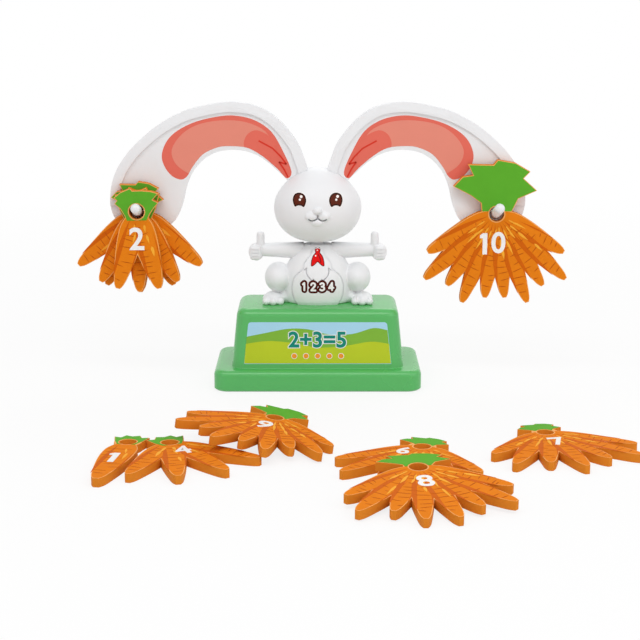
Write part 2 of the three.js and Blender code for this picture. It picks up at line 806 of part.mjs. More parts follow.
function buildBody() {
  const thighs = sides.map(([, side]) => {
    const middle = new THREE.Vector3(side * thighX, bodyMiddleY, baseTopZ + thighZ);
    return ellipsoid(thighWidth, thighDepth, thighHeight, middle, cavitySteps);
  });
  const footMiddleZ = baseTopZ + footHeight / 4;
  const toeMiddleZ = baseTopZ + toeRadius * 0.8;
  const feet = sides.flatMap(([, side]) => {
    const middle = new THREE.Vector3(side * footX, bodyMiddleY - footForward, footMiddleZ);
    const toes = [-1, 0, 1].map((place) => {
      const forward = footLength / 2 - toeRadius * (place === 0 ? 0.6 : 1);
      const toe = new THREE.Vector3(middle.x + place * toeSpread, middle.y - forward, toeMiddleZ);
      return ellipsoid(toeRadius * 2, toeRadius * 2.6, toeRadius * 2, toe, toeSteps);
    });
    return [ellipsoid(footWidth, footLength, footHeight, middle), ...toes];
  });
  const bellyFront = bodyMiddleY - torsoDepth;
  const disc = (radius, z) => {
    const start = new THREE.Vector3(0, bellyFront, baseTopZ + z);
    return barBetween(start, new THREE.Vector3(0, bodyMiddleY, baseTopZ + z), radius, roundSteps);
  };
  const patch = disc(bellyRadius, bellyZ).add(disc(bibRadius, bibZ)).intersect(torsoSolid(bellyRaise));
  const whole = joined([torsoSolid(0), ...thighs, ...feet, patch]);
  const reach = plateWidth;
  const farCorner = new THREE.Vector3(reach, reach, reach * 2);
  const aboveBase = boxBetween(new THREE.Vector3(-reach, -reach, baseTopZ), farCorner);
  const armSockets = sides.map(([, side]) => {
    const start = new THREE.Vector3(side * (armSpigotX - fitGap), bodyMiddleY, baseTopZ + armZ);
    const end = new THREE.Vector3(side * (armRootX + armRootRadius), bodyMiddleY, baseTopZ + armZ);
    return barBetween(start, end, armSpigotRadius + fitGap);
  });
  const cuts = [
    torsoHollow(),
    uprightPost(fitGap),
    ...armSockets,
    ...footScrewSpots.map((spot) => screwUp(spot, footScrewLength, fitGap, overrun)),
    ...bodyScrewSpots.map((spot) => screwForward(spot, bodyScrewLength, fitGap, thighDepth)),
  ];
  const shell = whole.intersect(aboveBase).subtract(joined(cuts));
  const [front, back] = splitAt(shell, bodyMiddleY);
  addPiece("body_front_shell", front, whitePlastic);
  addPiece("body_back_shell", back, whitePlastic);

  sides.forEach(([word, side], at) => {
    addPiece(`arm_${word}`, armSolid(side), whitePlastic);
    addPiece(`foot_screw_${word}`, screwUp(footScrewSpots[at], footScrewLength), steel);
    addPiece(`body_screw_${word}`, screwForward(bodyScrewSpots[at], bodyScrewLength), steel);
  });

  const bowPoints = placedShare(bowShare, bowWidth, bowHeight).map(([x, z]) => [x, baseTopZ + bowZ + z]);
  const bowUnder = bellyRaise + stickerLift;
  const bow = facing(bowPoints, bellyFront, bodyMiddleY)
    .intersect(torsoSolid(bowUnder + stickerThickness))
    .subtract(torsoSolid(bowUnder));
  addPiece("bow_sticker", bow, redSticker);
}

// A round bar from front to back through the pivot
function pivotBar(half, radius) {
  const front = new THREE.Vector3(0, bodyMiddleY - half, pivotZ);
  const back = new THREE.Vector3(0, bodyMiddleY + half, pivotZ);
  return barBetween(front, back, radius);
}

function buildPost() {
  const pinBore = pivotBar(postDepth, pinRadius + fitGap);
  const screwHole = screwUp(postScrewSpot, postScrewLength, fitGap, overrun);
  addPiece("neck_post", uprightPost(0).subtract(pinBore).subtract(screwHole), whitePlastic);
  addPiece("post_screw", screwUp(postScrewSpot, postScrewLength), steel);
  addPiece("pivot_pin", pivotBar(postDepth / 2 + pinSideGap + pinSeat, pinRadius), steel);
}

function headSolid(grow, steps = roundSteps) {
  const widthScale = (headWidth + grow * 2) / headWidth;
  const heightScale = (headHeight + grow * 2) / headHeight;
  const levels = steps < roundSteps ? headShare.filter((unused, at) => at % 2 === 0) : headShare;
  const profile = levels.map(([r, z]) => {
    const x = (headWidth / 2) * r * widthScale;
    return new THREE.Vector2(x, (z - 0.5) * headHeight * heightScale);
  });
  const geometry = new THREE.LatheGeometry(profile, steps).rotateX(quarterTurn);
  geometry.scale(1, (headDepth + grow * 2) / (headWidth + grow * 2), 1);
  return solidOf(geometry.translate(0, headMiddleY, headMiddleZ));
}

// How far forward the head's surface is at a height, on the middle line
function headFrontY(z) {
  const level = (z - headBottomZ) / headHeight;
  const above = headShare.findIndex(([, height]) => height > level);
  const [lowR, lowZ] = headShare[above - 1];
  const [highR, highZ] = headShare[above];
  const r = THREE.MathUtils.mapLinear(level, lowZ, highZ, lowR, highR);
  return headMiddleY - (headDepth / 2) * r;
}

const headScrewSpots = [
  new THREE.Vector3(0, bodyMiddleY + headScrewSeat, pivotZ + headHeight * headScrewTopShare),
  ...sides.map(([, side]) => {
    const z = headBottomZ + headHeight * headScrewSideShare;
    return new THREE.Vector3(side * headScrewSideX, bodyMiddleY + headScrewSeat, z);
  }),
];

function earTab(side, gap) {
  const middleX = side * earTabX;
  const half = earTabWidth / 2 + gap;
  const low = new THREE.Vector3(middleX - half, earFaceY - gap, headTopZ - earTabBelow - gap);
  const high = new THREE.Vector3(middleX + half, earFaceY + earTabDepth + gap, headTopZ + earTabAbove);
  return boxBetween(low, high);
}

function buildHead() {
  const outside = headSolid(0);
  const lobes = sides.map(([, side]) => {
    const y = headFrontY(muzzleLobeZ) + muzzleLobeDepth / 4;
    const middle = new THREE.Vector3(side * muzzleLobeX, y, muzzleLobeZ);
    return ellipsoid(muzzleLobeRadius * 2, muzzleLobeDepth, muzzleLobeRadius * 1.7, middle);
  });
  const noseMiddle = new THREE.Vector3(0, headFrontY(noseZ) - noseHeight / 4, noseZ);
  const nose = ellipsoid(noseWidth, noseHeight, noseHeight, noseMiddle, toeSteps);
  const lipMiddle = new THREE.Vector3(0, headFrontY(lipZ) + lipHeight / 4, lipZ);
  const lip = ellipsoid(lipWidth, lipHeight, lipHeight, lipMiddle, screwSteps);

  const pillar = (x, z, radius) => {
    const start = new THREE.Vector3(x, headMiddleY - headDepth, z);
    return barBetween(start, new THREE.Vector3(x, headMiddleY + headDepth, z), radius);
  };
  const pillars = [
    pillar(0, pivotZ, pinBossRadius),
    ...headScrewSpots.map((spot) => pillar(spot.x, spot.z, headBossRadius)),
  ];
  const stops = joined(pillars).intersect(headSolid(-shellWall / 2));
  const postSpace = postDepth / 2 + pinSideGap;
  const room = headWidth / 2;
  const roomLow = new THREE.Vector3(-room, bodyMiddleY - postSpace, headBottomZ);
  const roomTop = pivotZ + pinBossRadius + fitGap;
  const swingRoom = boxBetween(roomLow, new THREE.Vector3(room, bodyMiddleY + postSpace, roomTop));
  const sideBosses = joined(pillars.slice(2)).intersect(headSolid(-shellWall / 2));
  const hollow = headSolid(-shellWall, cavitySteps);
  const bosses = [stops.subtract(swingRoom), sideBosses];
  const shell = joined([outside.subtract(hollow), ...bosses, ...lobes, nose, lip]);

  const neckDrop = pivotZ - headBottomZ;
  const slotHalf = postWidth / 2 / Math.cos(tiltLimit) + neckDrop * Math.tan(tiltLimit) + fitGap;
  const slotLow = new THREE.Vector3(-slotHalf, bodyMiddleY - postSpace, headBottomZ - overrun);
  const slotTop = headBottomZ + shellWall * 3;
  const neckSlot = boxBetween(slotLow, new THREE.Vector3(slotHalf, bodyMiddleY + postSpace, slotTop));
  const cuts = [
    neckSlot,
    pivotBar(postSpace + pinSeat + fitGap, pinRadius + fitGap),
    ...headScrewSpots.map((spot) => screwForward(spot, headScrewLength, fitGap, headDepth)),
    ...sides.map(([, side]) => earTab(side, fitGap)),
  ];
  const [front, back] = splitAt(shell.subtract(joined(cuts)), bodyMiddleY);
  addPiece("head_front_shell", front, whitePlastic);
  addPiece("head_back_shell", back, whitePlastic);
  headScrewSpots.forEach((spot, at) => {
    addPiece(`head_screw_${at + 1}`, screwForward(spot, headScrewLength), steel);
  });

  sides.forEach(([word, side]) => {
    const outline = placedShare(eyeShare, eyeWidth, eyeHeight);
    const placed = outline.map(([x, z]) => [side * eyeX + x, eyeZ + z]);
    const eye = facing(placed, headMiddleY - headDepth, headMiddleY)
      .intersect(headSolid(stickerLift + stickerThickness))
      .subtract(headSolid(stickerLift));
    addPiece(`eye_sticker_${word}`, eye, brownSticker);
  });
}

// The ear's outline on the right-hand side, through its share points, as [X, Z] points
function throughShare(table, stepsEach, closed) {
  const points = table.map(([x, z]) => new THREE.Vector3(x * earReach, pivotZ + z * earRise, 0));
  const curve = new THREE.CatmullRomCurve3(points, closed, "centripetal");
  const steps = stepsEach * (closed ? table.length : table.length - 1);
  return Array.from({ length: steps + (closed ? 0 : 1) }, (unused, at) => {
    const point = curve.getPoint(at / steps);
    return [point.x, point.y];
  });
}

const onSide = (points, side) => points.map(([x, z]) => [side * x, z]);

const slantedPoint = (side, y, radialZ = 0) =>
  new THREE.Vector3(side * pegX, y, pegZ + radialZ + (earFrontY - y) * Math.tan(pegSlant));

function buildEar(word, side) {
  const topEdge = throughShare(earTopShare, 2, false);
  const underEdge = throughShare(earUnderShare, 1, false);
  const outline = [...topEdge, ...underEdge];
  const plate = facing(onSide(outline, side), earFaceY, earBackY, earBevel);
  const flangeInner = insetOutline(outline, earFlange);
  const coarse = flangeInner.filter((unused, at) => at % 2 === 0 || at >= topEdge.length);
  const hollow = facing(onSide(coarse, side), earFaceY + earPlate, earBackY + overrun);
  const rimInner = insetOutline(outline, earRimWidth).slice(0, topEdge.length - 3);
  const rimOuter = topEdge.slice(0, topEdge.length - 3);
  const rimOutline = [...rimOuter, ...rimInner.reverse()];
  const rim = facing(onSide(rimOutline, side), earFrontY, earFaceY + earPlate / 2 + earBevel, earBevel);

  const ribs = Array.from({ length: earRibCount }, (unused, at) => {
    const share = (at + 1) / (earRibCount + 1);
    const outer = topEdge[Math.round(share * (topEdge.length * 0.8))];
    const inner = underEdge[Math.round((1 - share) * (underEdge.length - 1))];
    const across = new THREE.Vector2(outer[0] - inner[0], outer[1] - inner[1]).normalize();
    const offset = [(-across.y * earRibThickness) / 2, (across.x * earRibThickness) / 2];
    const corners = [
      [outer[0] + offset[0], outer[1] + offset[1]],
      [inner[0] + offset[0], inner[1] + offset[1]],
      [inner[0] - offset[0], inner[1] - offset[1]],
      [outer[0] - offset[0], outer[1] - offset[1]],
    ];
    return facing(onSide(corners, side), earFaceY + earPlate / 2, earBackY - earBevel);
  });
  const within = facing(onSide(insetOutline(outline, earFlange / 2), side), earFaceY, earBackY);
  const socketOut = pegRadius + fitGap + pegSocketWall;
  const bossFront = slantedPoint(side, earFaceY - overrun);
  const boss = barBetween(bossFront, slantedPoint(side, earBackY + overrun), socketOut);
  const inserts = joined([...ribs, boss]).intersect(within);

  const socketEnd = slantedPoint(side, earFaceY + pegSocketDepth - fitGap);
  const socket = barBetween(slantedPoint(side, earFrontY - earDepth), socketEnd, pegRadius + fitGap);
  const ear = joined([plate.subtract(hollow), rim, inserts]).subtract(headSolid(fitGap));
  addPiece(`ear_${word}`, ear.add(earTab(side, 0)).subtract(socket), whitePlastic);

  const stickerOutline = insetOutline(throughShare(earStickerShare, 1, true), earStickerMargin);
  const sticker = facing(onSide(stickerOutline, side), earFaceY - stickerThickness, earFaceY);
  addPiece(`ear_sticker_${word}`, sticker.subtract(headSolid(fitGap)), pinkSticker);

  const pegRoot = slantedPoint(side, earFaceY + pegSocketDepth - fitGap * 2);
  const pegTip = slantedPoint(side, earFrontY - pegReach + pegRadius);
  addPiece(`peg_${word}`, roundEndedBar(pegRoot, pegTip, pegRadius), whitePlastic);
}

function carrotOutline(length, width, angleDegrees, inset) {
  const table = inset > 0 ? pocketShare : carrotShare;
  const side = table.map(([across, along]) => [(width / 2) * across - inset, -length * along]);
  const mirrored = side.map(([x, y]) => [-x, y]).reverse();
  const outline = [...side, ...mirrored];
  const angle = THREE.MathUtils.degToRad(angleDegrees);
  const turned = ([x, y]) => [
    x * Math.cos(angle) - y * Math.sin(angle),
    x * Math.sin(angle) + y * Math.cos(angle),
  ];
  return outline.map(turned);
}

function fanOf(bunch, inset, bottomZ, thickness) {
  const { number, spread, lengthShare } = bunch;
  const width = carrotWidth * bunch.widthShare;
  const carrots = Array.from({ length: number }, (unused, at) => {
    const fromEnd = Math.min(at, number - 1 - at);
    const angle = number === 1 ? 0 : -spread + (at * spread * 2) / (number - 1);
    const length = carrotLength * lengthShare[fromEnd];
    return layer(carrotOutline(length, width, angle, inset), bottomZ, thickness);
  });
  return joined(carrots);
}

function leafOutline({ outline, leafShare: [across, up] }) {
  return placedShare(outline, leafWidth * across, leafHeight * up);
}

const upright = (radius, low, high) =>
  barBetween(new THREE.Vector3(0, 0, low), new THREE.Vector3(0, 0, high), radius, holeSteps);

// One bunch without its pocket, face up, its hole at the origin and its leaf towards +Y
function wholeBunch(bunch) {
  const leaf = layer(leafOutline(bunch), 0, weightThickness);
  const crown = upright(weightCrownRadius, 0, weightThickness);
  const outside = renewed(joined([fanOf(bunch, 0, 0, weightThickness), crown, leaf]));
  return outside.subtract(upright(weightHoleRadius, -overrun, weightThickness + overrun));
}

function pocketOf(bunch, depth) {
  const collar = upright(weightHoleRadius + weightHoleWall, -overrun * 2, weightThickness);
  const fan = fanOf(bunch, weightWall, -overrun, depth + overrun);
  if (bunch.outline !== crownShare) return renewed(fan).subtract(collar);
  const leafPoints = insetOutline(leafOutline(bunch), weightWall);
  return renewed(fan.add(layer(leafPoints, -overrun, depth + overrun))).subtract(collar);
}

// The unit is what the bunches can share: the least volume per carrot of the bunches left whole
const unitVolume = Math.min(...bunches.map((bunch) => wholeBunch(bunch).volume() / bunch.number));

// The pocket at the back is as deep as makes a bunch weigh as many units as it has carrots
function bunchSolid(bunch) {
  const whole = wholeBunch(bunch);
  const deepest = weightThickness - weightFace;
  const removed = whole.intersect(pocketOf(bunch, deepest)).volume() / deepest;
  const depth = Math.min((whole.volume() - unitVolume * bunch.number) / removed, deepest);
  return depth < weldDistance ? whole : whole.subtract(pocketOf(bunch, depth));
}

function buildWeight(number) {
  const solid = bunchSolid(bunches[number - 1]);
  return addPiece(`weight_${number}`, solid, orangePlastic);
}

// Hung bunches, from the ear outwards: each hangs by the top of its hole on the slanted peg
function hangWeights(side, numbers) {
  numbers.forEach((number, place) => {
    const backY = earFrontY - fitGap - place * (weightThickness + fitGap);
    const pegTop = slantedPoint(side, backY - weightThickness, pegRadius / Math.cos(pegSlant));
    const mesh = buildWeight(number);
    mesh.rotation.x = quarterTurn;
    mesh.position.set(side * pegX, backY, pegTop.z + fitGap - weightHoleRadius);
  });
}

// Lays a bunch on the table at its spot, raised at one side by the lean
function layDown(mesh, number, leanAxis, lean) {
  const { spotShare, turn } = looseSpots[number];
  const [x, y] = spotShare.map((share) => share * carrotLength);
  mesh.rotation.set(0, 0, THREE.MathUtils.degToRad(turn));
  mesh.rotateOnWorldAxis(leanAxis, lean);
  mesh.position.set(x, y, 0);
  mesh.updateMatrixWorld();
  mesh.position.z = -new THREE.Box3().setFromObject(mesh, true).min.z;
  mesh.updateMatrixWorld();
}

// A bunch with one side on the table and the other on a bunch under it, at the least lean that clears it
function leanOnto(number, under, leanAxis) {
  const mesh = buildWeight(number);
  const placed = (other) => other.geometry.clone().applyMatrix4(other.matrixWorld);
  const support = solidOf(placed(under).translate(0, 0, fitGap));
  let tooLow = 0;
  let highEnough = leanLimit;
  for (let step = 0; step < leanHalvings; step += 1) {
    const lean = (tooLow + highEnough) / 2;
    layDown(mesh, number, leanAxis, lean);
    const clears = solidOf(placed(mesh)).intersect(support).isEmpty();
    if (clears) highEnough = lean;
    else tooLow = lean;
  }
  layDown(mesh, number, leanAxis, highEnough);
}

function buildWeights() {
  hangWeights(-1, [5, 3, 2]);
  hangWeights(1, [10]);
  const [, weight4, weight6] = [1, 4, 6, 7].map((number) => {
    const mesh = buildWeight(number);
    layDown(mesh, number, alongX, 0);
    return mesh;
  });
  leanOnto(8, weight6, alongX);
  leanOnto(9, weight4, alongY);
}

buildBase();
buildPost();
buildBody();
buildHead();
sides.forEach(([word, side]) => buildEar(word, side));
buildWeights();

export default model;
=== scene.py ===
import math
import random

import bpy
from mathutils import Matrix, Vector


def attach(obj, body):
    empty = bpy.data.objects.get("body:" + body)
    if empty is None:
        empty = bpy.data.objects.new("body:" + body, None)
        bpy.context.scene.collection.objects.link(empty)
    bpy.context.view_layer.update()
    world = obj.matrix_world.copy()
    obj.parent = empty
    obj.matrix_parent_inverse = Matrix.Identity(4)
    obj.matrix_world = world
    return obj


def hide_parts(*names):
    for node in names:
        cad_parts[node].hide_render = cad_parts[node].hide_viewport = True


# Rabbit math balance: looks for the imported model. The frame is in metres. The values of each piece
# are in millimetres, as on the drawing of the toy, and the helpers turn them into metres.

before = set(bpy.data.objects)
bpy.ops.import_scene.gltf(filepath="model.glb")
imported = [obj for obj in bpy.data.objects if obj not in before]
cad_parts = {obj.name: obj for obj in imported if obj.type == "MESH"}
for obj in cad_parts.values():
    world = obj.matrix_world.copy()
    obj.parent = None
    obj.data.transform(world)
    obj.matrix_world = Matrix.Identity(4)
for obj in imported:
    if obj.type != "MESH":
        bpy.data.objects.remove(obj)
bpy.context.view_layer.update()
mm = 0.001
print("frame loaded:", len(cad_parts), "nodes")

sides = (("left", -1), ("right", 1))


# Helpers for choosing, editing and finishing
def leaveEditMode():
    if bpy.context.mode != "OBJECT":
        bpy.ops.object.mode_set(mode="OBJECT")
    bpy.ops.object.select_all(action="DESELECT")


def pick(*objects):
    leaveEditMode()
    for item in objects:
        item.select_set(True)
    bpy.context.view_layer.objects.active = objects[0]


def nameIt(name):
    made = bpy.context.object
    made.name = made.data.name = name
    return made


def editOn(obj, kind="FACE", action="SELECT"):
    pick(obj)
    bpy.ops.object.mode_set(mode="EDIT")
    bpy.ops.mesh.select_mode(type=kind)
    bpy.ops.mesh.select_all(action=action)


def editOff():
    bpy.ops.object.mode_set(mode="OBJECT")


# Extrudes what is selected along a move, in metres
def pull(move):
    bpy.ops.mesh.extrude_region_move(TRANSFORM_OT_translate={"value": move})


def chooseFaces(obj, rule):
    editOn(obj, action="DESELECT")
    editOff()
    for face in obj.data.polygons:
        face.select = bool(rule(face))
    bpy.ops.object.mode_set(mode="EDIT")


# A rule for the faces square to Y at a depth: those that look forward (-1), back (1) or both ways (0)
def facesAt(y, side=0):
    return lambda face: (abs(face.normal.y) > 0.99 and face.normal.y * side >= 0
                         and abs(face.center.y - y * mm) < 1e-6)


# Rounds the edges around the chosen faces, which first get the material of a slot if one is given
def bevelFaces(obj, rule, offset, steps, slot=-1):
    chooseFaces(obj, rule)
    if slot > 0:
        obj.active_material_index = slot
        bpy.ops.object.material_slot_assign()
    bpy.ops.mesh.region_to_loop()
    bpy.ops.mesh.bevel(offset=offset * mm, offset_type="OFFSET", segments=steps, affect="EDGES",
                       material=slot, clamp_overlap=True)
    editOff()


def paint(obj, *materials):
    obj.data.materials.clear()
    for material in materials:
        obj.data.materials.append(material)
    return obj


def turnOutward(obj):
    editOn(obj, "VERT")
    bpy.ops.mesh.remove_doubles(threshold=0.002 * mm)
    bpy.ops.mesh.normals_make_consistent(inside=False)
    editOff()
    return obj


def applyPlace(obj):
    pick(obj)
    bpy.ops.object.transform_apply(location=True, rotation=True, scale=True)
    return obj


def copyOf(obj, name):
    twin = obj.copy()
    twin.data = obj.data.copy()
    twin.name = twin.data.name = name
    bpy.context.collection.objects.link(twin)
    return twin


def joinAll(objects, name):
    pick(*objects)
    if len(objects) > 1:
        bpy.ops.object.join()
    return nameIt(name)


def applyModifier(obj, kind, **settings):
    modifier = obj.modifiers.new(kind.lower(), kind)
    for key, value in settings.items():
        setattr(modifier, key, value)
    pick(obj)
    bpy.ops.object.modifier_apply(modifier=modifier.name)
    return obj


def carve(obj, tool, operation="DIFFERENCE", keepTool=False):
    applyModifier(obj, "BOOLEAN", operation=operation, solver="MANIFOLD", object=tool)
    if not keepTool:
        bpy.data.objects.remove(tool)
    return obj


def unite(pieces):
    whole, *others = pieces
    for piece in others:
        carve(whole, piece, "UNION")
    return whole


# Melts forms that overlap into one skin, and smooths it
def fuse(obj, voxel, rounds):
    applyModifier(obj, "REMESH", mode="VOXEL", voxel_size=voxel * mm)
    return applyModifier(obj, "SMOOTH", factor=0.5, iterations=rounds)


def complete(obj, body, material, nodes=(), angle=30):
    applyPlace(obj)
    bpy.ops.object.shade_smooth_by_angle(angle=math.radians(angle))
    if material:
        paint(obj, material)
    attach(obj, body)
    if nodes:
        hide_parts(*nodes)
    return obj


# Rows of points in two dimensions, in millimetres. A point past an end is the last one of an open
# row, and the next one round in a closed row
def pointAt(points, at, closed):
    count = len(points)
    return Vector(points[at % count if closed else min(max(at, 0), count - 1)])


def scaled(table, width, height, x=0, y=0):
    return [(x + across * width, y + up * height) for across, up in table]


def shifted(table, x, y):
    return scaled(table, 1, 1, x, y)


# A smooth curve through the points, with a number of steps between each two
def smoothRow(points, stepsEach, closed=False):
    row = []
    for span in range(len(points) if closed else len(points) - 1):
        before, start, end, after = (pointAt(points, at, closed) for at in range(span - 1, span + 3))
        slopeIn, slopeOut, along = (end - before) / 2, (after - start) / 2, end - start
        for step in range(stepsEach):
            t = step / stepsEach
            row.append(tuple(start + slopeIn * t + (3 * along - 2 * slopeIn - slopeOut) * t**2
                             + (slopeIn + slopeOut - 2 * along) * t**3))
    return row if closed else [*row, tuple(Vector(points[-1]))]


# The row with its small corners worn round
def eased(points, rounds):
    row = [Vector(point) for point in points]
    for _ in range(rounds):
        between = [(before + here * 2 + after) / 4 for before, here, after in zip(row, row[1:], row[2:])]
        row = [row[0], *between, row[-1]]
    return row


# The row moved to its left by distance, seen along the row from above
def offsetRow(points, distance, closed=True):
    row = []
    for at in range(len(points)):
        before, here, after = (pointAt(points, spot, closed) for spot in (at - 1, at, at + 1))
        normals = [Vector((-along.y, along.x)).normalized() for along in (here - before, after - here)
                   if along.length > 1e-9]
        middle = sum(normals, Vector((0, 0))).normalized()
        stretch = 1 / max(middle.dot(normals[0]), 0.4)  # keeps the width at a corner
        row.append(tuple(here + middle * distance * stretch))
    return row


# The closed outline drawn in by distance, whichever way it runs
def drawnIn(points, distance):
    area = sum(a[0] * b[1] - b[0] * a[1] for a, b in zip(points, points[1:] + points[:1]))
    return offsetRow(points, distance if area > 0 else -distance)


# The outline of a band of this width along an open row
def band(points, width):
    left, right = (offsetRow(points, offset, closed=False) for offset in (width / 2, -width / 2))
    return left + right[::-1]


def arcRow(radius, steps):
    angles = [math.pi / 2 * step / steps for step in range(steps + 1)]
    return [(radius * math.cos(angle), radius * math.sin(angle)) for angle in angles]


def circleRow(x, z, radius, steps=20):
    angles = [math.tau * step / steps for step in range(steps)]
    return [(x + radius * math.cos(angle), z + radius * math.sin(angle)) for angle in angles]


# What a table of (value, level) gives at a level between its rows, and nothing outside them
def readTable(table, level):
    for (low, lowLevel), (high, highLevel) in zip(table, table[1:]):
        if lowLevel <= level <= highLevel:
            return low + (high - low) * (level - lowLevel) / (highLevel - lowLevel)
    return 0


# A row of edges through points in space, drawn by extruding one vertex from point to point. It stays
# in edit mode
def traceRow(name, points):
    leaveEditMode()
    bpy.ops.mesh.primitive_plane_add(size=mm)
    row = nameIt(name)
    editOn(row, "VERT")
    bpy.ops.mesh.merge(type="CENTER")
    bpy.ops.transform.translate(value=Vector(points[0]) * mm)
    for start, end in zip(points, points[1:]):
        pull((Vector(end) - Vector(start)) * mm)
    bpy.ops.mesh.select_all(action="SELECT")
    return row


def traceFace(name, points):
    face = traceRow(name, points)
    bpy.ops.mesh.edge_face_add()
    editOff()
    return face


def pullOut(face, move):
    editOn(face)
    pull(Vector(move) * mm)
    editOff()
    return turnOutward(face)


# A slab that stands up and faces the viewer, between two depths. Side -1 mirrors it
def standing(name, points, frontY, backY, side=1):
    face = traceFace(name, [(side * x, frontY, z) for x, z in points])
    return pullOut(face, (0, backY - frontY, 0))


# A slab that lies flat, between two heights
def lying(name, points, low, high):
    return pullOut(traceFace(name, [(x, y, low) for x, y in points]), (0, 0, high - low))


# A standing slab along a smooth curve through the points
def strip(name, points, width, frontY, backY, side=1):
    return standing(name, band(smoothRow(points, 4), width), frontY, backY, side)


# A turned form: the profile of (radius, height) spun round Z, flattened in Y by depthShare
def turned(name, profile, steps, middle=(0, 0, 0), depthShare=1):
    form = traceRow(name, [(radius, 0, height) for radius, height in profile])
    bpy.ops.mesh.spin(steps=steps, angle=math.tau, center=(0, 0, 0), axis=(0, 0, 1))
    editOff()
    form.scale = (1, depthShare, 1)
    form.location = Vector(middle) * mm
    return turnOutward(applyPlace(form))


# A form raised through oval levels of (height, width, depth)
def raised(name, levels, middleY, steps=96):
    height, width, depth = levels[0]
    leaveEditMode()
    bpy.ops.mesh.primitive_circle_add(vertices=steps, radius=0.5, fill_type="NGON")
    form = nameIt(name)
    form.scale = (width * mm, depth * mm, 1)
    form.location = (0, middleY * mm, height * mm)
    applyPlace(form)
    editOn(form)
    for (lowHeight, lowWidth, lowDepth), (height, width, depth) in zip(levels, levels[1:]):
        pull((0, 0, (height - lowHeight) * mm))
        bpy.ops.transform.resize(value=(width / lowWidth, depth / lowDepth, 1),
                                 center_override=(0, middleY * mm, height * mm))
    editOff()
    return turnOutward(form)


def ball(name, middle, size, segments=40, rings=24):
    leaveEditMode()
    bpy.ops.mesh.primitive_uv_sphere_add(segments=segments, ring_count=rings, radius=0.5)
    made = nameIt(name)
    made.scale = Vector(size) * mm
    made.location = Vector(middle) * mm
    return applyPlace(made)


def bar(name, start, end, radius, steps=32, endRadius=None):
    start, end = Vector(start), Vector(end)
    along = end - start
    leaveEditMode()
    bpy.ops.mesh.primitive_cone_add(vertices=steps, radius1=radius * mm, depth=along.length * mm,
                                    radius2=(radius if endRadius is None else endRadius) * mm)
    made = nameIt(name)
    made.rotation_mode = "QUATERNION"
    made.rotation_quaternion = along.to_track_quat("Z", "Y")
    made.location = (start + end) / 2 * mm
    return applyPlace(made)


def block(name, low, high, bevel=0):
    low, high = Vector(low), Vector(high)
    leaveEditMode()
    bpy.ops.mesh.primitive_cube_add(size=1)
    made = nameIt(name)
    made.scale = (high - low) * mm
    made.location = (low + high) / 2 * mm
    applyPlace(made)
    if bevel:
        editOn(made, "EDGE")
        bpy.ops.mesh.bevel(offset=bevel * mm, segments=4, affect="EDGES")
        editOff()
    return made


# Nodes: each socket gets a value, or a link from another node's socket
def setSockets(tree, node, sockets):
    for place, source in sockets.items():
        if isinstance(source, bpy.types.NodeSocket):
            tree.links.new(source, node.inputs[place])
        else:
            node.inputs[place].default_value = source
    return node


def addNode(tree, kind, sockets, **settings):
    node = tree.nodes.new("ShaderNode" + kind)
    for key, value in settings.items():
        setattr(node, key, value)
    return setSockets(tree, node, sockets)


def linear(red, green, blue):
    shares = [value / 255 for value in (red, green, blue)]
    return (*[share / 12.92 if share <= 0.04045 else ((share + 0.055) / 1.055) ** 2.4
              for share in shares], 1)


# Materials. Each is a Principled surface with fine colour drift, uneven gloss and a little bump
grainValues = dict(scale=900, strength=0.02, distance=0.0002, unevenness=0.05)


def finish(name, colour, drift=0.04, roughness=0.45, sheenScale=60, gloss=0.5, metallic=0):
    v = grainValues
    material = bpy.data.materials.new(name)
    material.use_nodes = True
    tree = material.node_tree
    place = addNode(tree, "TexCoord", {}).outputs["Object"]
    cloud = addNode(tree, "TexNoise", {"Vector": place, "Scale": sheenScale, "Detail": 3}).outputs["Fac"]
    base = Vector(linear(*colour)[:3])
    tint = addNode(tree, "Mix", {"Factor": cloud, "A": (*(base * (1 - drift)), 1),
                                 "B": (*(base * (1 + drift)), 1)}, data_type="RGBA")
    uneven = addNode(tree, "MapRange", {"Value": cloud, "To Min": roughness - v["unevenness"],
                                        "To Max": roughness + v["unevenness"]})
    grain = addNode(tree, "TexNoise", {"Vector": place, "Scale": v["scale"]}).outputs["Fac"]
    relief = addNode(tree, "Bump", {"Strength": v["strength"], "Distance": v["distance"],
                                    "Height": grain})
    setSockets(tree, tree.nodes["Principled BSDF"], {
        "Base Color": tint.outputs["Result"], "Roughness": uneven.outputs["Result"],
        "Normal": relief.outputs["Normal"], "Specular IOR Level": gloss, "Metallic": metallic})
    return material


whitePlastic = finish("whitePlastic", (232, 233, 235), 0.015, 0.42, gloss=0.35)
greenPlastic = finish("greenPlastic", (78, 176, 90), 0.02, 0.26, 25, gloss=0.6)
postPlastic = finish("postPlastic", (222, 222, 222), 0.02, 0.5)
screwSteel = finish("screwSteel", (180, 180, 185), 0.05, 0.3, 400, metallic=1)
orangeSide = finish("orangeSide", (216, 128, 36), 0.08, 0.6, 160, gloss=0.08)
# The paler orange of the weights' top edge is a painted highlight along the rounded edge; the same colour
# shows in the thin margin round the print and in the ring round the hole
orangeEdgeHighlight = finish("orangeEdgeHighlight", (242, 172, 100), 0.05, 0.6, 160, gloss=0.15)
carrotFace = finish("carrotFace", (226, 126, 22), 0.07, 0.65, 120, gloss=0.05)
carrotShade = finish("carrotShade", (204, 96, 4), 0.05, 0.65, 220, gloss=0.1)
carrotCrease = finish("carrotCrease", (180, 84, 8), 0.06, 0.65, gloss=0.1)
carrotGlow = finish("carrotGlow", (242, 170, 52), 0.06, 0.6, gloss=0.1)
leafGreen = finish("leafGreen", (90, 168, 42), 0.05, 0.6, 150, gloss=0.12)
digitWhite = finish("digitWhite", (238, 238, 238), 0.02, 0.5, gloss=0.2)
stickerLight = finish("stickerLight", (226, 138, 120), 0.03, 0.6, gloss=0.12)
stickerBand = finish("stickerBand", (224, 108, 92), 0.03, 0.6, gloss=0.12)
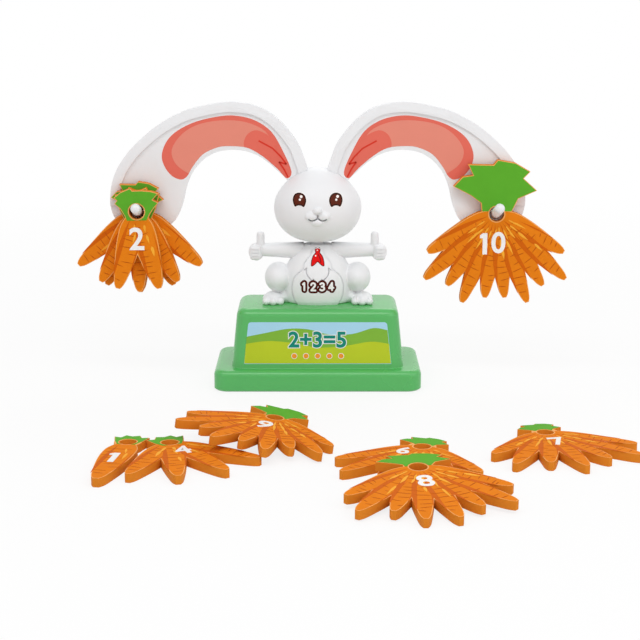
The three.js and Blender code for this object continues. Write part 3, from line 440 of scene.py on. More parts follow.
stickerLine = finish("stickerLine", (212, 56, 42), 0.04, 0.6, gloss=0.12)
eyeRim = finish("eyeRim", (44, 12, 4), 0.08, 0.4, gloss=0.1)
eyeBrown = finish("eyeBrown", (88, 32, 14), 0.1, 0.4, gloss=0.1)
eyeCream = finish("eyeCream", (246, 240, 236), 0.02, 0.5, gloss=0.2)
bowRed = finish("bowRed", (220, 8, 8), 0.05, 0.4, gloss=0.12)
bowDark = finish("bowDark", (104, 6, 8), 0.08, 0.4, gloss=0.12)
printMaroon = finish("printMaroon", (72, 14, 8), 0.06, 0.5, gloss=0.12)
labelSky = finish("labelSky", (166, 212, 234), 0.04, 0.55, gloss=0.2)
labelHill = finish("labelHill", (126, 178, 58), 0.05, 0.55, gloss=0.2)
labelGrass = finish("labelGrass", (184, 200, 40), 0.05, 0.55, gloss=0.2)
labelTeal = finish("labelTeal", (12, 130, 114), 0.05, 0.5, gloss=0.2)
labelOrange = finish("labelOrange", (236, 148, 44), 0.05, 0.5, gloss=0.2)
print("materials made")


# Camera, matched to the photo by its pixels: place in millimetres, tilt down in degrees
cameraValues = dict(place=(1.6, -1041.7, 275.1), tilt=12.62, sensor=36, focalPixels=1523.6,
                    framePixels=640)
leaveEditMode()
bpy.ops.object.camera_add(location=Vector(cameraValues["place"]) * mm,
                          rotation=(math.radians(90 - cameraValues["tilt"]), 0, 0))
camera = bpy.context.object
camera.data.sensor_width = cameraValues["sensor"]
camera.data.lens = cameraValues["sensor"] * cameraValues["focalPixels"] / cameraValues["framePixels"]
camera.data.clip_start = 0.01
bpy.context.scene.camera = camera
bpy.context.scene.view_settings.view_transform = "Standard"

# Floor, sky and lamps, in metres. The floor glows more from nearRange out to farRange
stageValues = dict(floorSize=60, floorGrey=(240, 240, 240), floorRoughness=0.9, floorLift=0.82,
                   nearRange=0.25, farRange=0.95, worldStrength=0.62, aim=(0, -0.06, 0.1))
lampValues = (
    dict(name="keyLamp", place=(-0.18, -0.75, 1.15), size=(1.5, 0.28), power=6.2),
    dict(name="fillLamp", place=(0.9, -0.7, 0.7), size=(1.1, 1.1), power=3.0),
    dict(name="backLamp", place=(0.2, 0.9, 1.0), size=(0.9, 0.9), power=3.5),
)


# Where the camera, a reflection or a view through glass looks straight at a surface
def seenShare(tree):
    path = addNode(tree, "LightPath", {})
    share = path.outputs["Is Camera Ray"]
    for word in ("Is Glossy Ray", "Is Transmission Ray"):
        both = addNode(tree, "Math", {0: share, 1: path.outputs[word]}, operation="MAXIMUM")
        share = both.outputs["Value"]
    return share


def buildFloor():
    v = stageValues
    bpy.ops.mesh.primitive_plane_add(size=v["floorSize"])
    floor = nameIt("floor")
    material = bpy.data.materials.new("floorPaper")
    material.use_nodes = True
    tree = material.node_tree
    place = addNode(tree, "TexCoord", {}).outputs["Object"]
    reach = addNode(tree, "VectorMath", {0: place}, operation="LENGTH").outputs["Value"]
    lift = addNode(tree, "MapRange", {"Value": reach, "From Min": v["nearRange"],
                                      "From Max": v["farRange"], "To Min": v["floorLift"]})
    share = addNode(tree, "Math", {0: seenShare(tree), 1: lift.outputs["Result"]}, operation="MULTIPLY")
    paper = setSockets(tree, tree.nodes["Principled BSDF"], {
        "Base Color": linear(*v["floorGrey"]), "Roughness": v["floorRoughness"]})
    glow = addNode(tree, "Emission", {"Strength": 1})
    mix = addNode(tree, "MixShader", {"Fac": share.outputs["Value"], 1: paper.outputs["BSDF"],
                                      2: glow.outputs["Emission"]})
    setSockets(tree, tree.nodes["Material Output"], {"Surface": mix.outputs["Shader"]})
    paint(floor, material)


def buildWorld():
    world = bpy.data.worlds.new("studio")
    bpy.context.scene.world = world
    world.use_nodes = True
    tree = world.node_tree
    white = (1, 1, 1, 1)
    light = setSockets(tree, tree.nodes["Background"], {
        "Color": white, "Strength": stageValues["worldStrength"]})
    seen = addNode(tree, "Background", {"Color": white, "Strength": 1})
    mix = addNode(tree, "MixShader", {"Fac": seenShare(tree), 1: light.outputs["Background"],
                                      2: seen.outputs["Background"]})
    setSockets(tree, tree.nodes["World Output"], {"Surface": mix.outputs["Shader"]})


def addLamp(values):
    bpy.ops.object.light_add(type="AREA", location=values["place"])
    lamp = nameIt(values["name"])
    lamp.data.shape = "RECTANGLE"
    lamp.data.size, lamp.data.size_y = values["size"]
    lamp.data.energy = values["power"]
    lamp.rotation_mode = "QUATERNION"
    lamp.rotation_quaternion = (Vector(stageValues["aim"]) - lamp.location).to_track_quat("-Z", "Y")


buildFloor()
buildWorld()
for values in lampValues:
    addLamp(values)
print("camera, floor and lamps placed")


# Base: a rounded foot plate and a tapered block, with a recess below for the bottom cover. Sizes are
# (width, depth)
baseValues = dict(plate=(142, 76), plateHeight=14.4, plateCorner=10, plateEdge=4, footEdge=1.2,
                  blockFoot=(118, 60), blockTop=(110, 56), blockHeight=40.8, blockCorner=9,
                  blockEdge=5.5, blockFillet=0.7, filletSteps=4, wall=2.4, coverThickness=2.4, gap=0.3,
                  cornerSteps=10, edgeSteps=8)


# A flat plate with round corners, drawn in on all sides by inset, that rises by the steps of its
# wall: (inset, rise), and for a step that tapers also the share of its width and depth at its top
def steppedPlate(name, size, corner, inset, z, steps):
    width, depth = size
    leaveEditMode()
    bpy.ops.mesh.primitive_plane_add(size=1)
    plate = nameIt(name)
    plate.scale = ((width - 2 * inset) * mm, (depth - 2 * inset) * mm, 1)
    plate.location = (0, 0, z * mm)
    applyPlace(plate)
    editOn(plate, "VERT")
    bpy.ops.mesh.bevel(offset=(corner - inset) * mm, offset_type="OFFSET", affect="VERTICES",
                       segments=baseValues["cornerSteps"])
    editOn(plate)
    for stepInset, rise, *taper in steps:
        if stepInset == 0:
            pull((0, 0, rise * mm))
        else:
            bpy.ops.mesh.inset(thickness=stepInset * mm, depth=0)
            bpy.ops.transform.translate(value=(0, 0, rise * mm))
        if taper:
            bpy.ops.transform.resize(value=(*taper, 1), center_override=(0, 0, 0))
    editOff()
    return turnOutward(plate)


# The steps of a wall that rounds inwards to its top
def arcSteps(radius, steps):
    arc = arcRow(radius, steps)
    return [(low[0] - high[0], high[1] - low[1]) for low, high in zip(arc, arc[1:])]


def buildBase():
    v = baseValues
    foot = v["footEdge"]
    grow = [size / (size - 2 * foot) for size in v["plate"]]
    wall = [(0, foot, *grow), (0, v["plateHeight"] - foot - v["plateEdge"]),
            *arcSteps(v["plateEdge"], v["edgeSteps"])]
    base = steppedPlate("baseShell", v["plate"], v["plateCorner"], foot, 0, wall)

    top = v["blockHeight"] - v["blockEdge"]
    taper = [1 - (1 - high / low) * top / v["blockHeight"]
             for low, high in zip(v["blockFoot"], v["blockTop"])]
    wall = [(0, 1), *reversed(arcSteps(v["blockFillet"], v["filletSteps"])),
            (0, top - v["blockFillet"], *taper), *arcSteps(v["blockEdge"], v["edgeSteps"])]
    carve(base, steppedPlate("baseBlock", v["blockFoot"], v["blockCorner"], -v["blockFillet"],
                             v["plateHeight"] - 1, wall), "UNION")

    wall = [(0, 1 + v["coverThickness"] + v["gap"])]
    carve(base, steppedPlate("baseRecess", v["plate"], v["plateCorner"], v["wall"], -1, wall))
    complete(base, "base", greenPlastic, ["base_shell"], 25)


# Screws: a countersunk head with a cross recess, modelled once and copied to every place that shows
screwValues = dict(radius=2.8, gap=0.3, height=1.7, shank=1.3, length=8, rim=0.15, recess=0.9, arm=1.7,
                   armWidth=0.5, coverX=59, coverY=26, coverSunk=0.3, boreEnd=40)
coverScrews = [(x * screwValues["coverX"], y * screwValues["coverY"], screwValues["coverSunk"])
               for y in (-1, 1) for x in (-1, 1)]


def unitScrew():
    v = screwValues
    profile = [(0, 0), (v["radius"] - v["rim"], 0), (v["radius"], v["rim"]), (v["shank"], v["height"]),
               (v["shank"], v["length"]), (0, v["length"])]
    screw = turned("screwUnit", profile, 32)
    for width, depth in ((v["arm"], v["armWidth"]), (v["armWidth"], v["arm"])):
        carve(screw, block("screwCut", (-width, -depth, -1), (width, depth, v["recess"])))
    return screw


# The hole behind a screw that goes in from the back
def boreFrom(form, x, y, z):
    v = screwValues
    carve(form, bar("screwBore", (x, y, z), (x, v["boreEnd"], z), v["radius"] + v["gap"]))


def bodyScrew(side):
    v = bodyValues
    return (side * v["screwX"], v["screwY"], v["base"] + v["screwRise"])


def buildScrews():
    unit = unitScrew()
    places = [(f"base_cover_screw_{number}", "base", place, 0)
              for number, place in enumerate(coverScrews, 1)]
    places += [("body_screw_" + word, "base", bodyScrew(side), 90) for word, side in sides]
    places += [(f"head_screw_{number}", "beam", (x, headValues["screwY"], z), 90)
               for number, (x, z) in enumerate(headValues["screws"], 1)]
    for node, body, place, turn in places:
        first, *rest = node.split("_")
        screw = copyOf(unit, first + "".join(word.capitalize() for word in rest))
        screw.rotation_euler = (math.radians(turn), 0, 0)
        screw.location = Vector(place) * mm
        complete(screw, body, screwSteel, [node], 30)
    bpy.data.objects.remove(unit)


def buildCover():
    v, s = baseValues, screwValues
    wide, narrow = s["radius"] + s["gap"], s["shank"] + s["gap"]
    cover = steppedPlate("baseCover", v["plate"], v["plateCorner"], v["wall"] + v["gap"], 0,
                         [(0, v["coverThickness"])])
    for x, y, z in coverScrews:
        sinkTop = z + s["height"] + s["gap"]
        for start, end, radius, endRadius in ((z, sinkTop, wide, s["shank"]), (-1, z + 0.01, wide, wide),
                                              (-1, v["coverThickness"] + 1, narrow, narrow)):
            carve(cover, bar("coverHole", (x, y, start), (x, y, end), radius, 32, endRadius))
    complete(cover, "base", greenPlastic, ["base_bottom_cover"], 30)


buildBase()
print("base built")


# Cuts a closed form at a plane across Y into a front and a back shell, a seam apart, with soft rims
shellValues = dict(seam=0.3, rim=0.3, rimSteps=2, smoothing=40)


def buildShells(form, word, body, planeY):
    v = shellValues
    for place, side in (("front", -1), ("back", 1)):
        shell = copyOf(form, word + place.capitalize())
        cutY = planeY + side * v["seam"] / 2
        editOn(shell, "VERT")
        bpy.ops.mesh.bisect(plane_co=(0, cutY * mm, 0), plane_no=(0, 1, 0), use_fill=True,
                            clear_inner=side > 0, clear_outer=side < 0)
        editOff()
        bevelFaces(shell, facesAt(cutY), v["rim"], v["rimSteps"])
        complete(shell, body, whitePlastic, [f"{word}_{place}_shell"], v["smoothing"])
    bpy.data.objects.remove(form)


# Head: a turned egg of [half width, up] in shares, with muzzle, nose and lip
headShare = ((0, 0), (0.2, 0.006), (0.39, 0.027), (0.59, 0.075), (0.755, 0.14), (0.9, 0.242),
             (0.974, 0.345), (1, 0.459), (0.98, 0.56), (0.905, 0.66), (0.78, 0.755), (0.62, 0.85),
             (0.43, 0.925), (0.23, 0.975), (0, 1))
headValues = dict(width=60.6, depth=50, height=52.6, bottom=97.1, middleY=2, splitY=3, pivotZ=133,
                  tilt=12, postWidth=8, postSpace=4.6, slotBelow=2, slotAbove=4.5, voxel=0.45,
                  smoothing=3, screwY=11, screws=((0, 142.47), (-19, 112), (19, 112)), lipZ=114.2,
                  creaseWidth=1.05, creaseDepth=2.5, creaseAhead=6, creaseBack=10)
# Lumps of the face: [name, across, height, size, how many quarters of its depth it is sunk in]
faceLumps = (("headLobe", -4.3, 118.5, (9, 7, 7.2), 1), ("headLobe", 4.3, 118.5, (9, 7, 7.2), 1),
             ("headNose", 0, 122.4, (6, 4.4, 4), -1), ("headLip", 0, 114.2, (9.6, 6.2, 5.6), 1))
# [across, up] of half the mouth crease and of the crease under the nose, in millimetres from the lip
mouthCrease = ((-6.2, 2.5), (-5.2, 1.7), (-3.8, 1.35), (-2.2, 1.6), (-0.9, 2.4), (0.2, 3.2))
noseCrease = ((0, 5.2), (0, 2.6))


def headForm(name, grow=0.0):
    v = headValues
    width, depth, height = (v[size] + 2 * grow for size in ("width", "depth", "height"))
    profile = [(max(width / 2 * across, 0), (up - 0.5) * height)
               for across, up in eased(smoothRow(headShare, 4), 8)]
    return turned(name, profile, 96, (0, v["middleY"], v["bottom"] + v["height"] / 2), depth / width)


def headFrontY(z):
    v = headValues
    return v["middleY"] - v["depth"] / 2 * readTable(headShare, (z - v["bottom"]) / v["height"])


def buildHead():
    v = headValues
    form = [headForm("headEgg")]
    for name, x, z, size, sunk in faceLumps:
        form.append(ball(name, (x, headFrontY(z) + sunk * size[1] / 4, z), size))
    head = fuse(joinAll(form, "headWhole"), v["voxel"], v["smoothing"])
    startY, endY = headFrontY(v["lipZ"]) - v["creaseAhead"], v["middleY"] - v["creaseBack"]
    for table, side in ((mouthCrease, -1), (mouthCrease, 1), (noseCrease, 1)):
        points = shifted(table, 0, v["lipZ"])
        crease = strip("headCrease", points, v["creaseWidth"], startY, endY, side)
        carve(crease, headForm("headCreaseForm", -v["creaseDepth"]))
        carve(head, crease)

    # the slot gives the neck post room for the tilt to both sides
    tilt = math.radians(v["tilt"])
    half = (v["postWidth"] / 2 / math.cos(tilt) + (v["pivotZ"] - v["bottom"]) * math.tan(tilt)
            + shellValues["seam"])
    carve(head, block("headSlot", (-half, v["splitY"] - v["postSpace"], v["bottom"] - v["slotBelow"]),
                      (half, v["splitY"] + v["postSpace"], v["pivotZ"] + v["slotAbove"])))
    for x, z in v["screws"]:
        boreFrom(head, x, v["screwY"], z)
    buildShells(head, "head", "beam", v["splitY"])


# Lays a flat upright face on a rounded form behind it: cut in a grid, pressed on, and thickened
def wrapOn(face, form, lift, thickness=0.08, grid=1.1):
    xs = [vertex.co.x for vertex in face.data.vertices]
    zs = [vertex.co.z for vertex in face.data.vertices]
    editOn(face, "VERT")
    for values, normal in ((xs, (1, 0, 0)), (zs, (0, 0, 1))):
        low, high = min(values), max(values)
        cuts = int((high - low) / (grid * mm))
        for cut in range(cuts):
            at = low + (high - low) * (cut + 1) / (cuts + 1)
            bpy.ops.mesh.select_all(action="SELECT")
            bpy.ops.mesh.bisect(plane_co=Vector(normal) * at, plane_no=normal)
    editOff()
    applyModifier(face, "SHRINKWRAP", target=form, wrap_method="PROJECT", use_project_y=True,
                  use_positive_direction=True, use_negative_direction=False, offset=lift * mm)
    applyModifier(face, "SOLIDIFY", thickness=thickness * mm, offset=0)
    return turnOutward(face)


# Shapes of (points, material) laid over one another on a form, each of the first ones a step higher
def wrapShapes(name, shapes, form, middle, step, topLevel):
    middleX, startY, middleZ = middle
    skins = []
    for level, (points, material) in enumerate(shapes, 1):
        face = traceFace(name, [(x, startY, z) for x, z in shifted(points, middleX, middleZ)])
        skins.append(paint(wrapOn(face, bpy.data.objects[form], step * min(level, topLevel)), material))
    return skins


# Body: torso, thighs and feet in two shells, with a raised belly patch and grooves of fur. The torso
# is [up, width, depth] in shares, and a toe is (place in the row, how far back in toe radii)
torsoShare = ((0, 0.95, 0.9), (0.04, 0.985, 0.95), (0.15, 1, 0.985), (0.3, 0.995, 1),
              (0.42, 0.985, 0.985), (0.52, 0.955, 0.94), (0.62, 0.9, 0.87), (0.72, 0.805, 0.79),
              (0.82, 0.68, 0.7), (0.91, 0.55, 0.6), (0.97, 0.455, 0.53), (1, 0.38, 0.46))
bodyValues = dict(middleY=3, base=55.2, width=48.4, depth=33, height=40.8, voxel=0.55, smoothing=4,
                  thighX=27.5, thighRise=17, thighSize=(18.8, 26, 20.8), webX=22.5, webRise=4,
                  webSize=(10, 16, 12), footX=30.8, footRise=2.4, footForward=4,
                  footSize=(15.2, 24, 9.6), toeRadius=2.7, toeSpread=4.9, toeRise=0.8, toeLength=2.6,
                  toes=((-1, 1), (0, 0.6), (1, 1)), patchRaise=0.8, grooveWidth=0.8, grooveDepth=1.35,
                  printDepth=4, postGap=4.3, screwX=27.5, screwRise=16, screwY=10)
# [across, up] of half the belly patch and of the grooves, in millimetres over the base
patchEdge = ((0, -1), (-13.6, -1), (-16.6, 5), (-17.7, 11), (-17, 16.4), (-14.6, 20.8), (-11.6, 23.4),
             (-9.6, 25.6), (-9.3, 28.3), (-7.2, 31.4), (-4.8, 34.2), (-3.6, 37.4), (0, 39.6))
tuftGrooves = (((-10.9, 24.2), (-9, 24.6), (-7.2, 26)),
               ((-7.4, 25.6), (-7.7, 23.2), (-6.6, 20.2), (-3.6, 17.4)), ((-3.6, 17.4), (-2.4, 18.4)))


def torsoForm(name, grow=0.0):
    v = bodyValues
    levels = [(v["base"] + share * v["height"], v["width"] * width + 2 * grow,
               v["depth"] * depth + 2 * grow) for share, width, depth in smoothRow(torsoShare, 3)]
    if grow:  # a form that cuts or is cut reaches past the torso's ends
        levels[0] = (levels[0][0] - 1, *levels[0][1:])
        height, width, depth = levels[-1]
        levels.append((height + max(grow, 0.01), width * 0.9, depth * 0.9))
    return raised(name, levels, v["middleY"])


def buildBody():
    v = bodyValues
    y, base, radius = v["middleY"], v["base"], v["toeRadius"]
    form = [torsoForm("bodyTorso")]
    for side in (-1, 1):
        footX, footY = side * v["footX"], y - v["footForward"]
        form.append(ball("bodyThigh", (side * v["thighX"], y, base + v["thighRise"]), v["thighSize"]))
        form.append(ball("bodyWeb", (side * v["webX"], y, base + v["webRise"]), v["webSize"]))
        form.append(ball("bodyFoot", (footX, footY, base + v["footRise"]), v["footSize"]))
        for place, sunk in v["toes"]:
            toe = (footX + place * v["toeSpread"], footY - v["footSize"][1] / 2 + radius * sunk,
                   base + radius * v["toeRise"])
            form.append(ball("bodyToe", toe, (radius * 2, radius * v["toeLength"], radius * 2), 24, 16))
    body = fuse(joinAll(form, "bodyWhole"), v["voxel"], v["smoothing"])

    frontY, printY = y - v["depth"], y - v["printDepth"]
    edge = smoothRow(patchEdge[1:], 4)
    outline = edge + [(-x, z) for x, z in reversed(edge[:-1])]
    patch = standing("bodyPatch", shifted(outline, 0, base), frontY, printY)
    carve(patch, torsoForm("bodyPatchForm", v["patchRaise"]), "INTERSECT")
    carve(body, patch, "UNION")
    for side in (-1, 1):
        for points in (*tuftGrooves, patchEdge[1:-1]):
            groove = strip("bodyGroove", shifted(points, 0, base), v["grooveWidth"], frontY, printY, side)
            carve(groove, torsoForm("bodyGrooveForm", v["patchRaise"] - v["grooveDepth"]))
            carve(body, groove)
    reach, gap = 60, v["postGap"]
    carve(body, block("bodyBelow", (-reach, -reach, 0), (reach, reach, base)))
    carve(body, block("bodyPostRoom", (-gap, y - gap, 0), (gap, y + gap, base + v["height"] + 5)))
    for side in (-1, 1):
        boreFrom(body, *bodyScrew(side))
    buildShells(body, "body", "base", y)


# Arms: a sleeve, a fist with folded fingers and a raised thumb, melted together
armValues = dict(rise=36.2, rootX=9.5, rootDrop=0.4, rootRadius=6, wristX=37, wristRadius=4.7,
                 fistX=42.7, fistDrop=1.4, fistSize=(10.8, 11.6, 12.6), thumbX=39.6, thumbRadius=2.8,
                 thumbFoot=1.08, thumbTop=49.6, thumbForward=1.2, fingersX=(39.2, 47),
                 fingersY=(-4.6, 2), fingersRise=(29.8, 40), fingerBevel=2.2, voxel=0.4,
                 creaseWidth=0.5, creaseDepth=0.6, creaseShares=(0.27, 0.5, 0.73), seatSunk=0.1)


def buildArm(word, side):
    v, y, base = armValues, bodyValues["middleY"], bodyValues["base"]

    def spot(x, rise, forward=0):
        return (side * x, y - forward, base + rise)

    rise, top, forward = v["rise"], v["thumbTop"] - v["thumbRadius"], v["thumbForward"]
    sleeve = bar("armSleeve", spot(v["rootX"], rise - v["rootDrop"]), spot(v["wristX"], rise),
                 v["rootRadius"], 48, v["wristRadius"])
    wrist = ball("armWrist", spot(v["wristX"], rise), [v["wristRadius"] * 2] * 3)
    fist = ball("armFist", spot(v["fistX"], rise - v["fistDrop"]), v["fistSize"])
    thumb = bar("armThumb", spot(v["thumbX"], rise - 2, forward), spot(v["thumbX"], top, forward),
                v["thumbRadius"] * v["thumbFoot"], 32, v["thumbRadius"])
    tip = ball("armThumbTip", spot(v["thumbX"], top, forward), [v["thumbRadius"] * 2] * 3)
    arm = joinAll([sleeve, wrist, fist, thumb, tip], "arm" + word.capitalize())
    fuse(arm, v["voxel"], 4)

    (nearX, farX), (frontY, backY) = sorted(side * x for x in v["fingersX"]), v["fingersY"]
    low, high = (base + level for level in v["fingersRise"])
    carve(arm, block("armFingers", (nearX, frontY, low), (farX, backY, high), v["fingerBevel"]), "UNION")
    fuse(arm, v["voxel"] * 0.8, 2)
    for share in v["creaseShares"]:
        level, half = low + (high - low) * share, v["creaseWidth"] / 2
        carve(arm, block("armCrease", (nearX - 0.4, frontY - 2, level - half),
                         (farX + 0.2, frontY + v["creaseDepth"], level + half)))
    carve(arm, torsoForm("armSeat", -v["seatSunk"]))
    complete(arm, "base", whitePlastic, ["arm_" + word], 60)


# Ears: a plate with a raised outer rim, hollow at the back with ribs and a boss round the peg. The
# tables are [across, up] in shares of the ear's reach and rise from the pivot
earTop = ((0.046, 0.24), (0.067, 0.38), (0.1, 0.56), (0.186, 0.805), (0.281, 0.95), (0.39, 1),
          (0.492, 0.983), (0.632, 0.904), (0.752, 0.762), (0.85, 0.582), (0.923, 0.4), (0.975, 0.2),
          (1, -0.03), (0.994, -0.25), (0.945, -0.41), (0.85, -0.49))
earUnder = ((0.752, -0.445), (0.688, -0.33), (0.653, -0.148), (0.632, 0.05), (0.6, 0.215),
            (0.548, 0.354), (0.481, 0.442), (0.394, 0.465), (0.316, 0.43), (0.25, 0.343),
            (0.181, 0.203), (0.13, 0.09), (0.08, 0.05))
earSticker = ((0.15, 0.13), (0.12, 0.215), (0.162, 0.46), (0.218, 0.68), (0.294, 0.805), (0.377, 0.858),
              (0.46, 0.858), (0.58, 0.797), (0.672, 0.695), (0.728, 0.57), (0.754, 0.41),
              (0.742, 0.275), (0.705, 0.16), (0.657, 0.116), (0.624, 0.16), (0.597, 0.266),
              (0.548, 0.404), (0.48, 0.48), (0.421, 0.495), (0.338, 0.475), (0.269, 0.385),
              (0.201, 0.25))
earLight = ((0.236, 0.629), (0.317, 0.758), (0.432, 0.799), (0.56, 0.758), (0.648, 0.645), (0.7, 0.467),
            (0.681, 0.304), (0.614, 0.191), (0.58, 0.2), (0.54, 0.36), (0.48, 0.43), (0.421, 0.44),
            (0.33, 0.42), (0.25, 0.4))
earLobe = ((0.229, 0.613), (0.29, 0.685), (0.334, 0.645), (0.354, 0.548), (0.344, 0.46), (0.3, 0.38),
           (0.24, 0.28), (0.19, 0.3), (0.2, 0.48))
earVein = ((0.283, 0.568), (0.216, 0.483), (0.1755, 0.386), (0.15, 0.304), (0.1856, 0.329),
           (0.162, 0.248), (0.143, 0.159))
earValues = dict(reach=142.3, rise=60.6, pivotZ=133, frontY=-3, faceY=-1.4, backY=5, plate=2.4,
                 flange=2, rimWidth=6.6, rimShort=12, bevel=0.9, rimBevel=1.3, backBevel=0.36,
                 ribThickness=1.6, ribCount=5, ribReach=0.8, ribDrop=0.6, margin=0.8, headGap=0.1,
                 stickerStep=0.07, stickerSunk=0.05, veinWidth=1.1)
pegValues = dict(x=122.5, z=117.8, radius=3.4, reach=26, socket=6.5, socketWall=2.7, slant=16, fit=0.25,
                 endGap=0.3, chamfer=0.4)


def earRow(table, steps, closed=False):
    v = earValues
    return smoothRow(scaled(table, v["reach"], v["rise"], 0, v["pivotZ"]), steps, closed)


def pegPoint(side, y, up=0.0):
    v = pegValues
    lift = (earValues["frontY"] - y) * math.tan(math.radians(v["slant"]))
    return Vector((side * v["x"], y, v["z"] + lift + up))


def buildEar(word, side):
    v, p = earValues, pegValues
    frontY, faceY, backY = v["frontY"], v["faceY"], v["backY"]
    topEdge, underEdge = earRow(earTop, 5), earRow(earUnder, 4)
    outline = topEdge + underEdge
    ear = standing("ear" + word.capitalize(), outline, frontY, backY, side)
    last = len(topEdge) - v["rimShort"]
    rimInner = drawnIn(outline, v["rimWidth"])[:last]
    rimEnd = Vector(topEdge[last - 1]) * 2 - Vector(rimInner[-1])
    below = v["pivotZ"] - v["rise"]
    around = [tuple(rimEnd), (v["reach"] + 12, below), (4, below)]  # round the ear's open lower side
    carve(ear, standing("earRecess", rimInner + around, frontY - 1, faceY, side))
    bevelFaces(ear, facesAt(frontY, -1), v["rimBevel"], 5)
    bevelFaces(ear, facesAt(faceY, -1), v["bevel"], 4)
    carve(ear, standing("earHollow", drawnIn(outline, v["flange"]), faceY + v["plate"], backY + 1, side))
    bevelFaces(ear, facesAt(backY, 1), v["backBevel"], 2)

    inserts = []
    for at in range(v["ribCount"]):
        share = (at + 1) / (v["ribCount"] + 1)
        outer = Vector(topEdge[round(share * len(topEdge) * v["ribReach"])])
        under = Vector(underEdge[round((1 - share) * (len(underEdge) - 1))])
        across = (outer - under).normalized()
        aside = Vector((-across.y, across.x)) * v["ribThickness"] / 2
        corners = (outer + aside, under + aside, under - aside, outer - aside)
        inserts.append(standing("earRib", corners, faceY + 1, backY - v["ribDrop"], side))
    inserts.append(bar("earBoss", pegPoint(side, faceY - 1), pegPoint(side, backY + 1),
                       p["radius"] + p["socketWall"], 48))
    within = standing("earWithin", drawnIn(outline, v["flange"] / 2), faceY + 0.5, backY, side)
    for insert in inserts:
        carve(insert, within, "INTERSECT", keepTool=True)
        carve(ear, insert, "UNION")
    bpy.data.objects.remove(within)
    socketEnd = pegPoint(side, faceY + p["socket"] - p["endGap"])
    carve(ear, bar("earSocket", pegPoint(side, frontY - 6), socketEnd, p["radius"] + p["fit"], 48))
    carve(ear, headForm("earHeadRoom", v["headGap"]))
    complete(ear, "beam", whitePlastic, ["ear_" + word], 35)


# The sticker inside the ear: a band, its light middle and lobe, and a zigzag of strokes, all kept
# within the band's edge and off the head
def buildEarSticker(word, side):
    v = earValues
    backY = v["faceY"] + v["stickerSunk"]
    edge, line = earRow(earSticker, 4, True), earRow(earVein, 1)
    layers = [drawnIn(edge, v["margin"]), earRow(earLight, 4, True), earRow(earLobe, 4, True)]
    skins = []
    for level, (points, material) in enumerate(zip(layers, (stickerBand, stickerLight, stickerBand)), 1):
        frontY = v["faceY"] - v["stickerStep"] * level
        skins.append(paint(standing("earSkin", points, frontY, backY, side), material))
    frontY = v["faceY"] - v["stickerStep"] * 4
    for stroke in zip(line, line[1:]):
        skins.append(paint(strip("earVein", stroke, v["veinWidth"], frontY, backY, side), stickerLine))
    within = standing("stickerWithin", drawnIn(edge, v["margin"] + 0.02), v["faceY"] - 1,
                      v["faceY"] + 1, side)
    for skin in skins[1:]:
        carve(skin, within, "INTERSECT", keepTool=True)
    headRoom = headForm("stickerHeadRoom", v["headGap"])
    for skin in skins:
        carve(skin, headRoom, keepTool=True)
    for tool in (within, headRoom):
        bpy.data.objects.remove(tool)
    sticker = joinAll(skins, "earSticker" + word.capitalize())
    complete(sticker, "beam", None, ["ear_sticker_" + word], 30)


def buildPeg(word, side):
    v, p = earValues, pegValues
    radius, chamfer = p["radius"], p["chamfer"]
    root = pegPoint(side, v["faceY"] + p["socket"] - 2 * p["endGap"])
    length = (pegPoint(side, v["frontY"] - p["reach"] + radius) - root).length
    tip = shifted(arcRow(radius, 8)[:-1], 0, length)
    profile = [(0, 0), (radius - chamfer, 0), (radius, chamfer), *tip, (0, length + radius)]
    peg = turned("peg" + word.capitalize(), profile, 48)
    peg.rotation_euler = (math.radians(90 - p["slant"]), 0, 0)
    peg.location = root * mm
    complete(peg, "beam", whitePlastic, ["peg_" + word], 40)


# Eyes: thin stickers that follow the head, in cream, dark rim, brown and two glints
eyeOutline = ((-0.34, -0.5), (-0.48, -0.2), (-0.5, 0.08), (-0.38, 0.36), (-0.14, 0.5), (0.14, 0.5),
              (0.38, 0.36), (0.5, 0.08), (0.48, -0.2), (0.34, -0.5), (0.12, -0.41), (-0.12, -0.41))
eyeValues = dict(x=12.3, startY=-40, z=129.3, size=9, rim=0.9, cream=0.4, step=0.05, levels=4,
                 glints=((1.2, 2.2, 0.95), (0.3, 0.2, 0.75)))


def buildEyes():
    v = eyeValues
    outline = smoothRow(scaled(eyeOutline, v["size"], v["size"]), 3, True)
    shapes = [(drawnIn(outline, -v["cream"]), eyeCream), (outline, eyeRim),
              (drawnIn(outline, v["rim"]), eyeBrown)]
    shapes += [(circleRow(*glint), eyeCream) for glint in v["glints"]]
    for word, side in sides:
        middle = (side * v["x"], v["startY"], v["z"])
        skins = wrapShapes("eyeSkin", shapes, "headFront", middle, v["step"], v["levels"])
        eye = joinAll(skins, "eye" + word.capitalize())
        complete(eye, "beam", None, ["eye_sticker_" + word], 30)


# Bow: a red sticker with a dark edge, a fold and small glints
bowOutline = ((-0.14, 1), (0.14, 1), (0.15, 0.84), (0.12, 0.76), (0.34, 0.56), (0.46, 0.3), (0.5, 0.03),
              (0.44, 0), (0.25, 0.1), (0, 0.26), (-0.25, 0.1), (-0.44, 0), (-0.5, 0.03), (-0.46, 0.3),
              (-0.34, 0.56), (-0.12, 0.76), (-0.15, 0.84))
bowFold = ((0.05, 0.66), (0.2, 0.42), (0.26, 0.18))
bowValues = dict(width=8.3, height=11, rise=27.6, startY=-30, edge=0.55, foldWidth=0.5, step=0.05,
                 levels=3, glints=((-0.2, 10, 0.4), (-1.4, 6.4, 0.5)))


